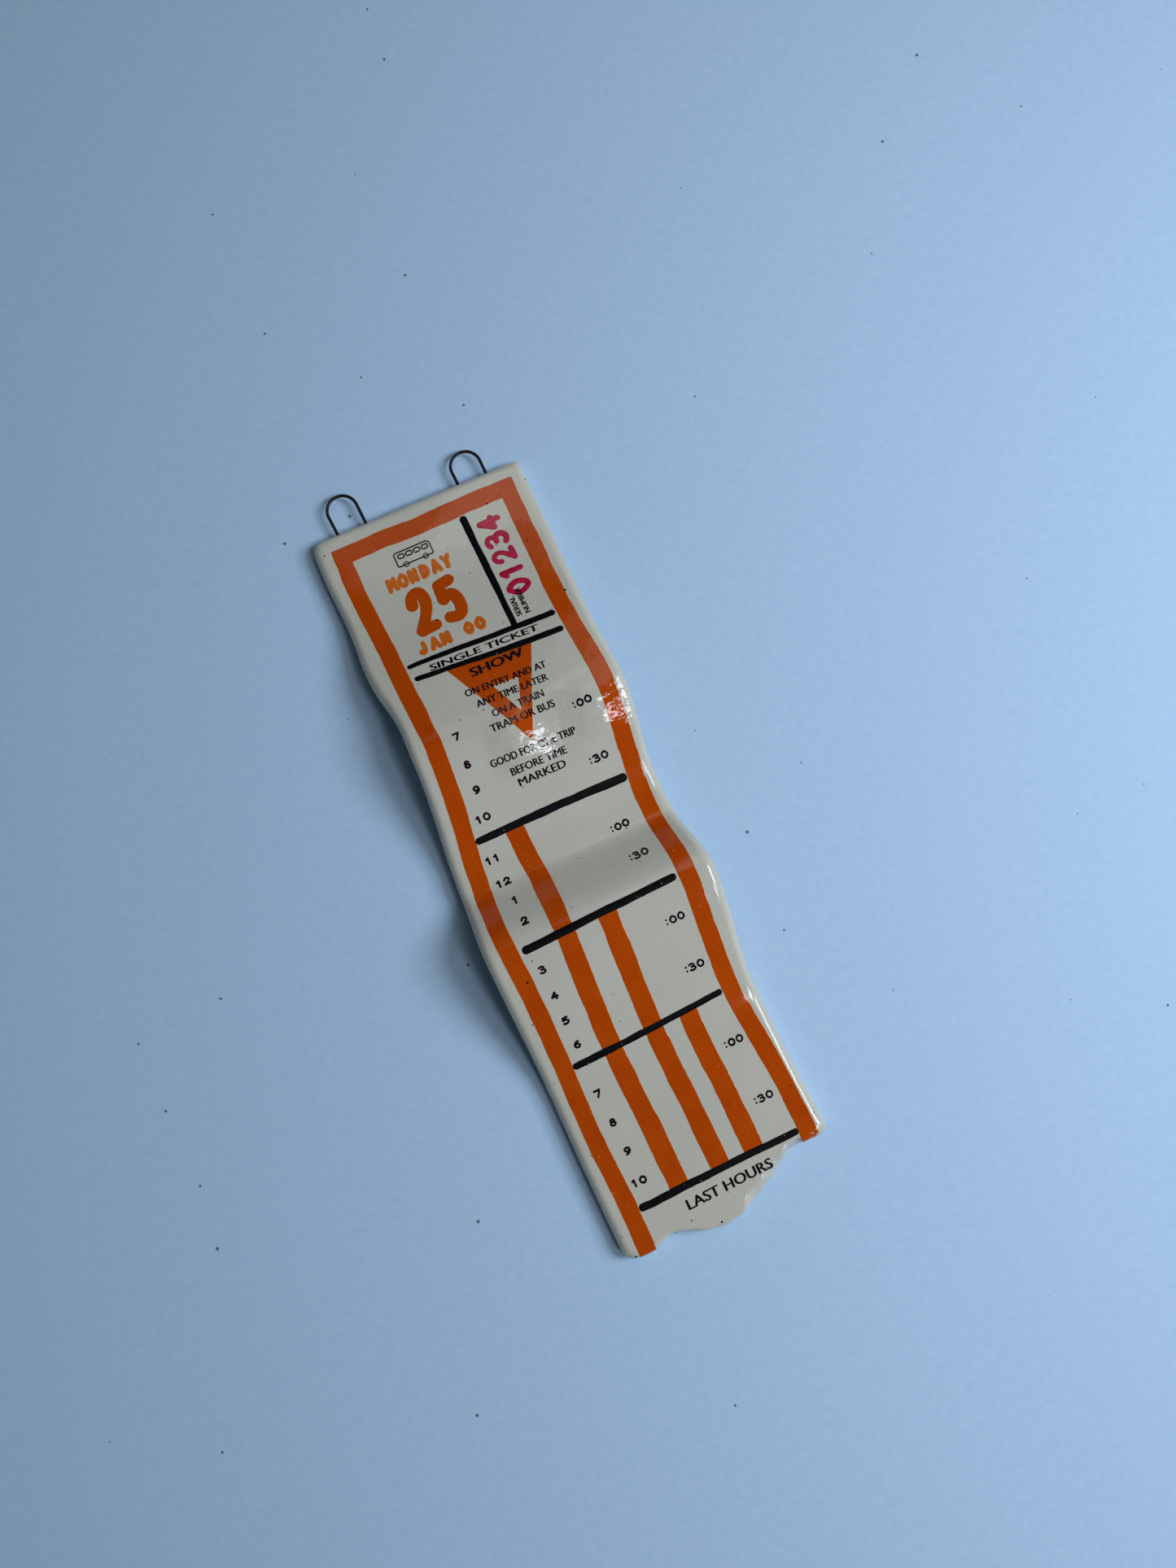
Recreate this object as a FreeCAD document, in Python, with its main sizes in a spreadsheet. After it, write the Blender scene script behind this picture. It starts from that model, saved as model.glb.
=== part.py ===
import FreeCAD, Part
import Sketcher

import math
import os

# A ceramic wall piece in the form of a torn, wavy paper transit ticket.
# The ticket is one glazed slab with two wire hanging loops fired into its top edge.
# Colour lies on its face as brushed orange bands and raised black lines.
#
# The slab lies face up.  +X is to the reader's right and +Y points to the hanging loops.
# Places along the ticket are measured down from its top edge, except at the torn end,
# where they are measured up from its lowest point.  An inset is measured inwards from
# the ticket's nominal left or right side.  All sizes are in millimetres.

SIZES = {
    "ticket_width": 56.0,
    "ticket_length": 189.4,
    "ticket_thickness": 4.5,
    "corner_radius": 2.0,
    "face_edge_radius": 1.7,
    "back_edge_radius": 0.8,
    "back_flat_depth": 0.05,
    # The wave along the ticket: two crests, with a trough that clears the wall.
    "crest_one_down": 62.4,
    "crest_one_height": 8.8,
    "crest_one_upper_run": 50.0,
    "crest_one_lower_run": 29.0,
    "crest_two_down": 112.4,
    "crest_two_height": 9.6,
    "crest_two_upper_run": 17.5,
    "crest_two_lower_run": 36.0,
    "trough_down": 94.4,
    "trough_height": 1.2,
    "trough_run": 30.0,
    # Hanging loops of round kiln wire.
    "wire_diameter": 0.8,
    "loop_width": 7.7,
    "loop_neck": 7.4,
    "loop_embed": 8.0,
    "loop_left_inset": 10.6,
    "loop_left_leg": 6.4,
    "loop_left_lean": 3.4,
    "loop_right_inset": 12.7,
    "loop_right_leg": 4.6,
    "loop_right_lean": 2.0,
    # Colour on the face.
    "colour_thickness": 0.14,
    "line_thickness": 0.35,
    "band_width": 4.3,
    "band_inset": 3.6,
    "band_top_down": 3.4,
    "band_top_width": 4.5,
    "band_end_gap": 0.2,
    "stripe_width": 4.9,
    "stripe_1_inset": 18.2,
    "stripe_2_inset": 28.9,
    "stripe_3_inset": 37.7,
}

# Black lines: how far down and in each end's centre is, and the line's width there.
LINES = {
    "title_line_upper": {"left_down": 39.3, "right_down": 41.1, "left_inset": 10.2,
                         "right_inset": 9.1, "left_width": 1.1, "right_width": 1.7},
    "title_line_lower": {"left_down": 43.0, "right_down": 45.8, "left_inset": 10.8,
                         "right_inset": 8.9, "left_width": 1.2, "right_width": 1.6},
    "hour_line_1": {"left_down": 84.5, "right_down": 84.5, "left_inset": 8.6,
                    "right_inset": 9.6, "left_width": 1.7, "right_width": 2.1},
    "hour_line_2": {"left_down": 112.8, "right_down": 111.2, "left_inset": 8.9,
                    "right_inset": 9.4, "left_width": 2.0, "right_width": 1.8},
    "hour_line_3": {"left_down": 142.2, "right_down": 140.2, "left_inset": 8.4,
                    "right_inset": 9.8, "left_width": 1.7, "right_width": 1.5},
    # The last line's ends are measured up from the torn end, so that it moves with it.
    "hour_line_4": {"left_up": 11.4, "right_up": 12.4, "left_inset": 9.4,
                    "right_inset": 6.9, "left_width": 1.9, "right_width": 1.6},
    # The divider stands upright, so its left end is its top and its right end its foot.
    "serial_divider": {"left_down": 8.9, "right_down": 40.2, "left_inset": 36.9,
                       "right_inset": 18.5, "left_width": 1.8, "right_width": 1.5},
}

# The pointer triangle and the triangular window in it: how far down and in each corner is.
POINTER = {
    "pointer_left": {"down": 43.9, "inset": 17.9},
    "pointer_right": {"down": 45.2, "inset": 39.7},
    "pointer_tip": {"down": 68.6, "inset": 30.1},
    "window_left": {"down": 52.6, "inset": 26.7},
    "window_right": {"down": 52.9, "inset": 33.0},
    "window_tip": {"down": 60.9, "inset": 30.4},
}

# How far each hand-cut side stands out from the nominal side, by distance down.
LEFT_BULGE = [(0, -0.2), (25, -0.1), (36, 0.4), (43, -0.5), (50, -1.8), (58, -2.0),
              (67, -1.8), (77, -0.9), (87, 0.4), (98, 1.0), (117, 0.8), (139, 0.3),
              (164, -0.1)]
RIGHT_BULGE = [(0, -0.2), (21, 0.0), (39, -0.4), (51, -0.3), (62, 0.3), (71, -0.2),
               (80, -1.4), (92, -1.6), (99, -0.8), (107, 0.6), (115, 0.9), (125, 0.1),
               (137, -0.9), (151, -0.9), (167, -0.2)]

# The torn end from left to right: the share of the width, and how far up it is.
TORN_END = [(0.014, 1.7), (0.16, 1.7), (0.205, 2.7), (0.285, 2.7), (0.357, 0.9),
            (0.42, 0.0), (0.5, 0.3), (0.571, 1.2), (0.67, 3.5), (0.75, 6.2),
            (0.83, 8.7), (0.91, 9.4), (1.011, 9.6)]

# How far each brushed side band wanders outwards from its straight course.
LEFT_WANDER = [(0, 0.2), (19, 0.1), (29, -0.6), (39, -1.1), (49, -1.8), (59, -2.3),
               (69, -1.9), (79, -0.7), (89, 0.7), (99, 1.4), (109, 1.0), (119, 0.4),
               (139, 0.2), (159, 0.3), (179, -0.6), (230, -0.6)]
RIGHT_WANDER = [(0, -0.3), (19, 0.0), (39, -0.1), (49, 0.4), (59, 1.1), (69, 0.8),
                (79, -0.2), (94, -0.9), (109, 0.0), (119, -0.4), (139, -1.1),
                (154, 0.2), (164, 1.1), (174, 1.6), (230, 1.6)]

# How far the three stripes wander to the right from their straight courses.
STRIPE_WANDER = [(80, -0.9), (89, -0.5), (99, 0.2), (107, 0.5), (119, 0.3), (129, -0.1),
                 (149, -0.1), (159, 0.4), (169, 0.7), (179, 1.0), (230, 1.2)]

CUT_MARGIN = 8.0          # how far cutting blocks run past what they cut
CUT_HEIGHT = 40.0         # height of the upright blocks, above every crest
WAVE_STEP = 3.0           # spacing of the points that carry the wave's formula
CORNER_GAP = 5.0          # nearest that a listed side point comes to a torn corner


def fill_sheet(document):
    """Writes every driving size into the sheet, each with its own alias."""
    sheet = document.addObject("Spreadsheet::Sheet", "Sizes")
    cells = dict(SIZES)
    for table in (LINES, POINTER):
        for name, row in table.items():
            for key, value in row.items():
                cells[name + "_" + key] = value
    for number, (alias, value) in enumerate(cells.items(), start=1):
        sheet.set("A%d" % number, alias)
        sheet.set("B%d" % number, str(value))
        sheet.setAlias("B%d" % number, alias)
    document.recompute()
    return sheet


doc = FreeCAD.newDocument("TransitTicket")
sizes = fill_sheet(doc)


def size(name):
    return float(sizes.get(name))


half_width = size("ticket_width") / 2
half_thickness = size("ticket_thickness") / 2
loop_top = size("loop_left_leg") + size("loop_width") / 2 + size("wire_diameter") / 2
# The origin is below the middle of the whole piece, loops included.
top_y = (size("ticket_length") - loop_top) / 2
torn_y = top_y - size("ticket_length")


def up(distance):
    """The distance down of a place that is this far up from the torn end's lowest point."""
    return size("ticket_length") - distance


def line_down(name, end):
    """How far down a black line's end is, and the sheet formula that says so."""
    if end + "_up" in LINES[name]:
        return up(size("%s_%s_up" % (name, end))), \
            "Sizes.ticket_length - Sizes.%s_%s_up" % (name, end)
    return size("%s_%s_down" % (name, end)), "Sizes.%s_%s_down" % (name, end)


# ---- the wave --------------------------------------------------------------------------

def hill(down, name, run_before, run_after):
    """A raised cosine: its full height at the crest, nothing at the end of each run."""
    crest = size(name + "_down")
    run = run_before if down < crest else run_after
    share = min(abs(down - crest) / run, 1.0)
    return size(name + "_height") * (1 + math.cos(math.pi * share)) / 2


def wave(down):
    """How far the slab's middle surface is lifted there from its flat ends."""
    first = hill(down, "crest_one", size("crest_one_upper_run"), size("crest_one_lower_run"))
    second = hill(down, "crest_two", size("crest_two_upper_run"), size("crest_two_lower_run"))
    trough = hill(down, "trough", size("trough_run"), size("trough_run"))
    return first + second + trough


def layer_side(offset):
    """Side view of the surface that lies this far above the slab's middle surface."""
    head = -CUT_MARGIN
    tail = size("ticket_length") + CUT_MARGIN
    count = round((tail - head) / WAVE_STEP)
    points = []
    for i in range(count + 1):
        down = head + (tail - head) * i / count
        rise = (wave(down + 0.01) - wave(down - 0.01)) / 0.02
        lean = math.hypot(1, rise)
        height = half_thickness - size("back_flat_depth") + wave(down) + offset / lean
        points.append(FreeCAD.Vector(0, top_y - down + offset * rise / lean, height))
    level = FreeCAD.Vector(0, -1, 0)
    curve = Part.BSplineCurve()
    curve.interpolate(Points=points, InitialTangent=level, FinalTangent=level)
    return curve.toShape()


def wavy_layer(name, low_offset, high_offset):
    """A solid between two offsets of the middle surface, wider and longer than the ticket."""
    low = layer_side(low_offset)
    high = layer_side(high_offset)
    caps = [Part.makeLine(low.Vertexes[i].Point, high.Vertexes[i].Point) for i in (0, -1)]
    face = Part.Face(Part.Wire(Part.__sortEdges__([low, high] + caps)))
    reach = half_width + CUT_MARGIN
    face.translate(FreeCAD.Vector(-reach, 0, 0))
    layer = doc.addObject("Part::Feature", name)
    layer.Shape = face.extrude(FreeCAD.Vector(2 * reach, 0, 0))
    return layer


# ---- plan outlines ---------------------------------------------------------------------

def spline(points):
    """One smooth edge through plan points, each given as its place across and down."""
    curve = Part.BSplineCurve()
    curve.interpolate([FreeCAD.Vector(x, top_y - down, 0) for x, down in points])
    return curve.toShape()


def line(start, end):
    first = FreeCAD.Vector(start[0], top_y - start[1], 0)
    return Part.makeLine(first, FreeCAD.Vector(end[0], top_y - end[1], 0))


def upright_block(name, edges):
    """A tall block over a closed plan outline."""
    face = Part.Face(Part.Wire(Part.__sortEdges__(edges)))
    face.translate(FreeCAD.Vector(0, 0, -CUT_MARGIN))
    block = doc.addObject("Part::Feature", name)
    block.Shape = face.extrude(FreeCAD.Vector(0, 0, CUT_HEIGHT + CUT_MARGIN))
    return block


def ticket_side(bulges, sign, corner):
    """Points down one side, which end at the torn end's corner."""
    points = [(sign * (half_width + bulge), down) for down, bulge in bulges
              if down < corner[1] - CORNER_GAP]
    return points + [corner]


def ticket_outline():
    torn = [((2 * share - 1) * half_width, up(height)) for share, height in TORN_END]
    left = ticket_side(LEFT_BULGE, -1, torn[0])
    right = ticket_side(RIGHT_BULGE, 1, torn[-1])
    return [line(left[0], right[0]), spline(right), spline(torn), spline(left)]


def steady(table, down):
    """The value at a distance down, in a straight line between the table's entries."""
    for (first, low), (second, high) in zip(table, table[1:]):
        if first <= down <= second:
            return low + (high - low) * (down - first) / (second - first)
    return table[-1][1]


def brushed_strip(name, centre_x, wander, sign, top_down, end_down, width):
    """A block over a brushed strip whose middle wanders as its table says."""
    downs = [top_down] + [down for down, _ in wander if top_down + 1 < down < end_down - 1]
    downs.append(end_down)
    middle = [(centre_x + sign * steady(wander, down), down) for down in downs]
    left = [(x - width / 2, down) for x, down in middle]
    right = [(x + width / 2, down) for x, down in middle]
    edges = [spline(left), spline(right), line(left[0], right[0]), line(left[-1], right[-1])]
    return upright_block(name, edges)


# ---- the slab --------------------------------------------------------------------------

def edges_between(shape, side):
    """Numbers of the edges between a wall and the face (side 1) or the back (side -1)."""
    def leaning(surface):
        u_first, u_last, v_first, v_last = surface.ParameterRange
        return surface.normalAt((u_first + u_last) / 2, (v_first + v_last) / 2).z

    broad = [surface for surface in shape.Faces if leaning(surface) * side > 0.5]
    walls = [surface for surface in shape.Faces if abs(leaning(surface)) < 0.5]
    found = []
    for number, edge in enumerate(shape.Edges, start=1):
        on_broad = any(edge.isSame(other) for surface in broad for other in surface.Edges)
        on_wall = any(edge.isSame(other) for surface in walls for other in surface.Edges)
        if on_broad and on_wall:
            found.append(number)
    return found


def top_corners(shape):
    """Numbers of the upright edges at the ticket's two untorn corners."""
    found = []
    for number, edge in enumerate(shape.Edges, start=1):
        first, last = edge.Vertexes[0].Point, edge.Vertexes[-1].Point
        if abs(first.z - last.z) > 1 and first.y > 0:
            found.append(number)
    return found


def make_slab(loops):
    """The wavy slab: cut to its outline, rounded by hand, with a bore for each wire leg."""
    outline = upright_block("TicketOutline", ticket_outline())
    radius = size("corner_radius")
    cut_out = doc.addObject("Part::Fillet", "TicketCutOut")
    cut_out.Base = outline
    cut_out.Edges = [(number, radius, radius) for number in top_corners(outline.Shape)]

    sheet = wavy_layer("ClaySheet", -half_thickness, half_thickness)
    blank = doc.addObject("Part::Common", "TicketBlank")
    blank.Base = sheet
    blank.Tool = cut_out
    doc.recompute()

    rounded = doc.addObject("Part::Fillet", "TicketRounded")
    rounded.Base = blank
    face_radius = size("face_edge_radius")
    back_radius = size("back_edge_radius")
    rounded.Edges = [(n, face_radius, face_radius) for n in edges_between(blank.Shape, 1)] \
        + [(n, back_radius, back_radius) for n in edges_between(blank.Shape, -1)]

    # The back's ends lie truly flat, where the soft clay was pressed on its board.
    board = doc.addObject("Part::Box", "Board")
    reach = size("ticket_length")
    board.Placement.Base = FreeCAD.Vector(-reach, -reach, -CUT_MARGIN)
    board.Length = 2 * reach
    board.Width = 2 * reach
    board.Height = CUT_MARGIN
    removed = doc.addObject("Part::MultiFuse", "BoardAndWires")
    removed.Shapes = [board] + loops
    slab = doc.addObject("Part::Cut", "Slab")
    slab.Base = rounded
    slab.Tool = removed
    slab.Label = "ticket_slab"
    return slab


# ---- the hanging loops -----------------------------------------------------------------

def origin_plane(body, role):
    return next(item for item in body.Origin.OriginFeatures if item.Role == role)


def make_loop(name, side):
    """A wire loop: two legs in the clay that splay a little, and an arch above them."""
    body = doc.addObject("PartDesign::Body", name)
    embed = size("loop_embed")
    leg = size(side + "_leg")
    neck = size("loop_neck") / 2
    reach = size("loop_width") / 2

    path = body.newObject("Sketcher::SketchObject", name + "Path")
    path.AttachmentSupport = [(origin_plane(body, "XY_Plane"), "")]
    path.MapMode = "FlatFace"
    foot_left = FreeCAD.Vector(-neck, -embed, 0)
    foot_right = FreeCAD.Vector(neck, -embed, 0)
    shoulder_left = FreeCAD.Vector(-reach, leg, 0)
    shoulder_right = FreeCAD.Vector(reach, leg, 0)
    path.addGeometry(Part.LineSegment(foot_left, shoulder_left))
    path.addGeometry(Part.ArcOfCircle(
        Part.Circle(FreeCAD.Vector(0, leg, 0), FreeCAD.Vector(0, 0, 1), reach), 0, math.pi))
    path.addGeometry(Part.LineSegment(shoulder_right, foot_right))
    path.addConstraint(Sketcher.Constraint("Coincident", 0, 2, 1, 2))
    path.addConstraint(Sketcher.Constraint("Coincident", 1, 1, 2, 1))
    path.addConstraint(Sketcher.Constraint("PointOnObject", 1, 3, -2))
    path.addConstraint(Sketcher.Constraint("Symmetric", 0, 1, 2, 2, -2))
    path.addConstraint(Sketcher.Constraint("Horizontal", 0, 2, 2, 1))
    bindings = [
        (Sketcher.Constraint("Radius", 1, reach), "Sizes.loop_width / 2"),
        (Sketcher.Constraint("DistanceX", 0, 1, 2, 2, 2 * neck), "Sizes.loop_neck"),
        (Sketcher.Constraint("DistanceY", 0, 1, -1, 1, embed), "Sizes.loop_embed"),
        (Sketcher.Constraint("DistanceY", -1, 1, 1, 3, leg), "Sizes.%s_leg" % side),
        (Sketcher.Constraint("DistanceY", -1, 1, 0, 2, leg), "Sizes.%s_leg" % side),
    ]
    for constraint, formula in bindings:
        number = path.addConstraint(constraint)
        path.setExpression("Constraints[%d]" % number, formula)

    section = body.newObject("Sketcher::SketchObject", name + "Section")
    section.AttachmentSupport = [(path, "Edge1")]
    section.MapMode = "NormalToEdge"
    section.addGeometry(Part.Circle(FreeCAD.Vector(0, 0, 0), FreeCAD.Vector(0, 0, 1),
                                    size("wire_diameter") / 2))
    section.addConstraint(Sketcher.Constraint("Coincident", 0, 3, -1, 1))
    number = section.addConstraint(
        Sketcher.Constraint("Diameter", 0, size("wire_diameter")))
    section.setExpression("Constraints[%d]" % number, "Sizes.wire_diameter")

    wire = body.newObject("PartDesign::AdditivePipe", name + "Wire")
    wire.Profile = section
    wire.Spine = (path, ["Edge1", "Edge2", "Edge3"])

    sign = "-1 * " if side == "loop_left" else ""
    middle = sign + "(Sizes.ticket_width / 2 - Sizes.%s_inset)" % side
    body.Placement = FreeCAD.Placement(FreeCAD.Vector(0, top_y, half_thickness),
                                       FreeCAD.Rotation(FreeCAD.Vector(0, 0, 1), 1))
    body.setExpression("Placement.Base.x", middle)
    body.setExpression("Placement.Base.z", "Sizes.ticket_thickness / 2")
    body.setExpression("Placement.Rotation.Angle", "Sizes.%s_lean" % side)
    return body


# ---- colour on the face ----------------------------------------------------------------

def sketch_on_face(name):
    """A plan sketch that starts at the ticket's nominal top left corner."""
    sketch = doc.addObject("Sketcher::SketchObject", name)
    sketch.Placement.Base = FreeCAD.Vector(-half_width, top_y, -CUT_MARGIN)
    sketch.setExpression("Placement.Base.x", "-Sizes.ticket_width / 2")
    return sketch


def place_point(sketch, geometry, point, inset_formula, down_formula):
    """Ties a point of the sketch to its inset from the left and its distance down."""
    number = sketch.addConstraint(
        Sketcher.Constraint("DistanceX", -1, 1, geometry, point, 1.0))
    sketch.setExpression("Constraints[%d]" % number, inset_formula)
    number = sketch.addConstraint(
        Sketcher.Constraint("DistanceY", geometry, point, -1, 1, 1.0))
    sketch.setExpression("Constraints[%d]" % number, down_formula)


def raised(sketch, name):
    block = doc.addObject("Part::Extrusion", name)
    block.Base = sketch
    block.DirMode = "Custom"
    block.Dir = FreeCAD.Vector(0, 0, 1)
    block.LengthFwd = CUT_HEIGHT + CUT_MARGIN
    block.Solid = True
    return block


def tapered_line(name):
    """A block over one brush line: a round end at each centre, joined by tangents."""
    left_down, left_formula = line_down(name, "left")
    right_down, right_formula = line_down(name, "right")
    left = FreeCAD.Vector(size(name + "_left_inset"), -left_down, 0)
    right = FreeCAD.Vector(size("ticket_width") - size(name + "_right_inset"), -right_down, 0)
    along = (right - left).normalize()
    start = math.atan2(along.y, along.x)
    sketch = sketch_on_face(name + "_sketch")
    up_axis = FreeCAD.Vector(0, 0, 1)
    left_radius = size(name + "_left_width") / 2
    right_radius = size(name + "_right_width") / 2
    side = FreeCAD.Vector(-along.y, along.x, 0)
    sketch.addGeometry(Part.ArcOfCircle(Part.Circle(left, up_axis, left_radius),
                                        start + math.pi / 2, start + 3 * math.pi / 2))
    sketch.addGeometry(Part.ArcOfCircle(Part.Circle(right, up_axis, right_radius),
                                        start - math.pi / 2, start + math.pi / 2))
    sketch.addGeometry(Part.LineSegment(left + side * left_radius, right + side * right_radius))
    sketch.addGeometry(Part.LineSegment(left - side * left_radius, right - side * right_radius))
    for arc, arc_end, edge, edge_end in ((0, 1, 2, 1), (0, 2, 3, 1), (1, 2, 2, 2), (1, 1, 3, 2)):
        sketch.addConstraint(Sketcher.Constraint("Tangent", arc, arc_end, edge, edge_end))
    for arc, word, radius in ((0, "left", left_radius), (1, "right", right_radius)):
        number = sketch.addConstraint(Sketcher.Constraint("Radius", arc, radius))
        sketch.setExpression("Constraints[%d]" % number, "Sizes.%s_%s_width / 2" % (name, word))
    place_point(sketch, 0, 3, "Sizes.%s_left_inset" % name, left_formula)
    place_point(sketch, 1, 3, "Sizes.ticket_width - Sizes.%s_right_inset" % name,
                right_formula)
    return raised(sketch, name + "_block")


def pointer_block():
    """A block over the pointer triangle, with its triangular window."""
    sketch = sketch_on_face("pointer_sketch")
    for first in (0, 3):
        names = list(POINTER)[first:first + 3]
        corners = [FreeCAD.Vector(size(n + "_inset"), -size(n + "_down"), 0) for n in names]
        for i in range(3):
            sketch.addGeometry(Part.LineSegment(corners[i], corners[(i + 1) % 3]))
        for i in range(3):
            sketch.addConstraint(
                Sketcher.Constraint("Coincident", first + i, 2, first + (i + 1) % 3, 1))
        for i, name in enumerate(names):
            place_point(sketch, first + i, 1, "Sizes.%s_inset" % name, "Sizes.%s_down" % name)
    return raised(sketch, "pointer_block")


def painted(label, block, layer, cutters):
    """The part of a colour layer inside a block, less what is painted over it."""
    result = doc.addObject("Part::Common", label + "_layer")
    result.Base = block
    result.Tool = layer
    for number, cutter in enumerate(cutters):
        cut = doc.addObject("Part::Cut", "%s_cut_%d" % (label, number))
        cut.Base = result
        cut.Tool = cutter
        result = cut
    result.Label = label
    return result


def make_colour():
    colour = wavy_layer("ColourLayer", half_thickness,
                        half_thickness + size("colour_thickness"))
    relief = wavy_layer("LineLayer", half_thickness, half_thickness + size("line_thickness"))
    blocks = {name: tapered_line(name) for name in LINES}
    nodes = []
    for name, block in blocks.items():
        cutters = [blocks["title_line_upper"]] if name == "serial_divider" else []
        nodes.append(painted(name, block, relief, cutters))

    band_middle = half_width - size("band_inset") - size("band_width") / 2
    clear = size("face_edge_radius") + size("band_end_gap")
    left_band = brushed_strip("LeftBand", -band_middle, LEFT_WANDER, -1,
                              size("band_top_down"), up(TORN_END[0][1] + clear),
                              size("band_width"))
    right_band = brushed_strip("RightBand", band_middle, RIGHT_WANDER, 1,
                               size("band_top_down"), up(TORN_END[-1][1] + clear),
                               size("band_width"))
    low = size("band_top_down") + size("band_top_width")
    high = size("band_top_down")
    top_band = upright_block("TopBand", [line((-band_middle, high), (band_middle, high)),
                                         line((band_middle, high), (band_middle, low)),
                                         line((band_middle, low), (-band_middle, low)),
                                         line((-band_middle, low), (-band_middle, high))])
    hour_blocks = [blocks["hour_line_%d" % n] for n in (1, 2, 3, 4)]
    nodes.append(painted("border_band_left", left_band, colour, hour_blocks))
    nodes.append(painted("border_band_right", right_band, colour, hour_blocks))
    nodes.append(painted("border_band_top", top_band, colour, [left_band, right_band]))

    middles = [(line_down("hour_line_%d" % n, "left")[0]
                + line_down("hour_line_%d" % n, "right")[0]) / 2 for n in (1, 2, 3, 4)]
    for n in (1, 2, 3):
        strip = brushed_strip("Stripe%d" % n, size("stripe_%d_inset" % n) - half_width,
                              STRIPE_WANDER, 1, middles[n - 1], middles[3],
                              size("stripe_width"))
        nodes.append(painted("stripe_%d" % n, strip, colour, hour_blocks))

    nodes.append(painted("pointer_triangle", pointer_block(), colour,
                         [blocks["title_line_lower"]]))
    return nodes


# ---- build, check and write ------------------------------------------------------------

def check(nodes):
    doc.recompute()
    for item in doc.Objects:
        if "Invalid" in item.State or "Error" in item.State:
            raise RuntimeError("%s did not build: %s" % (item.Label, item.State))
    for node in nodes:
        shape = node.Shape
        if shape.isNull() or not shape.isValid() or shape.Volume <= 0:
            raise RuntimeError("%s has no valid solid" % node.Label)
        print("%-18s %3d solids %10.2f mm3" % (node.Label, len(shape.Solids), shape.Volume))


loop_left = make_loop("LoopLeft", "loop_left")
loop_right = make_loop("LoopRight", "loop_right")
loop_left.Label = "hanging_loop_left"
loop_right.Label = "hanging_loop_right"
doc.recompute()
ticket = make_slab([loop_left, loop_right])
parts = [ticket, loop_left, loop_right] + make_colour()
check(parts)

os.makedirs("parts", exist_ok=True)
for part in parts:
    part.Shape.exportStep("parts/%s.step" % part.Label)
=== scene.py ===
import math

import bmesh
import bpy
import numpy as np
from mathutils import Matrix, Vector


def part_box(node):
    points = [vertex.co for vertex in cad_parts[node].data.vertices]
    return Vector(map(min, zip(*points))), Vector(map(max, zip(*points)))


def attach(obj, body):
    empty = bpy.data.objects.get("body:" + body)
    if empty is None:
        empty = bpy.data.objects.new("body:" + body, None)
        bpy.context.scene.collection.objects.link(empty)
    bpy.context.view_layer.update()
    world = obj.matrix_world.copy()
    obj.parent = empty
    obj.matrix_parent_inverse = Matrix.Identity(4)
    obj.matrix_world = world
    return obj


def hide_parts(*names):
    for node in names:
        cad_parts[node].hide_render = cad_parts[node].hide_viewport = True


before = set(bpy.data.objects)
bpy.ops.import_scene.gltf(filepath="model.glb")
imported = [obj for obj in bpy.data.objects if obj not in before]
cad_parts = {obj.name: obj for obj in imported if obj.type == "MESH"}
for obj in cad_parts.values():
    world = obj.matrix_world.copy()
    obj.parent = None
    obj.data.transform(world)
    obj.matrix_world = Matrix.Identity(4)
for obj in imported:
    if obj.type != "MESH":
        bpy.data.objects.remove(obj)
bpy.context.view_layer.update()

# A glazed ceramic wall piece made like a torn, wavy paper transit ticket.
# Places on its face are given in millimetres: across from its middle line, and down from
# its top edge.  The clay is one closed surface; every brush stroke, line and decal is a
# thin closed piece that follows the same wavy surface.

MM = 0.001
SLAB_LOW, SLAB_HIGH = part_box("ticket_slab")
TOP_Y = SLAB_HIGH.y / MM
LENGTH = (SLAB_HIGH.y - SLAB_LOW.y) / MM
WIDTH = 56.0
HALF = WIDTH / 2
THICK = 4.5
FACE_ROUND = 1.8          # radius of the hand-smoothed face edge
BACK_ROUND = 0.8
NEAR_TORN = 14.0          # stretch at the torn end where colour may reach the edge

# The wave: (crest, height, run before it, run after it), all in millimetres down.
HILLS = [(62.4, 8.8, 50.0, 29.0), (112.4, 9.6, 17.5, 36.0), (94.4, 1.2, 30.0, 30.0)]

# How far each hand-cut side stands out from the nominal side, by distance down.
LEFT_BULGE = [(-0.6, 0.7), (12, 0.8), (25, 0.25), (36, 0.5), (43, -0.4), (50, -1.8), (58, -2.0),
              (67, -1.8), (77, -0.9), (87, 0.4), (98, 1.0), (117, 0.8), (139, 0.3),
              (164, -0.1)]
RIGHT_BULGE = [(-0.5, -0.3), (21, 0.0), (39, -0.4), (51, -0.3), (62, 0.3), (71, -0.2),
               (80, -1.4), (92, -1.6), (99, -0.8), (107, 0.6), (115, 0.9), (125, 0.1),
               (137, -0.9), (151, -0.9), (167, -0.2)]
# The torn end, left to right: the share of the width, and how far up from its lowest point.
TORN_END = [(0.014, 1.7), (0.16, 1.7), (0.205, 2.7), (0.285, 2.7), (0.357, 0.9),
            (0.42, 0.0), (0.5, 0.3), (0.571, 1.2), (0.67, 3.5), (0.75, 6.2),
            (0.83, 8.7), (0.91, 9.4), (1.011, 9.6)]

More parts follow.
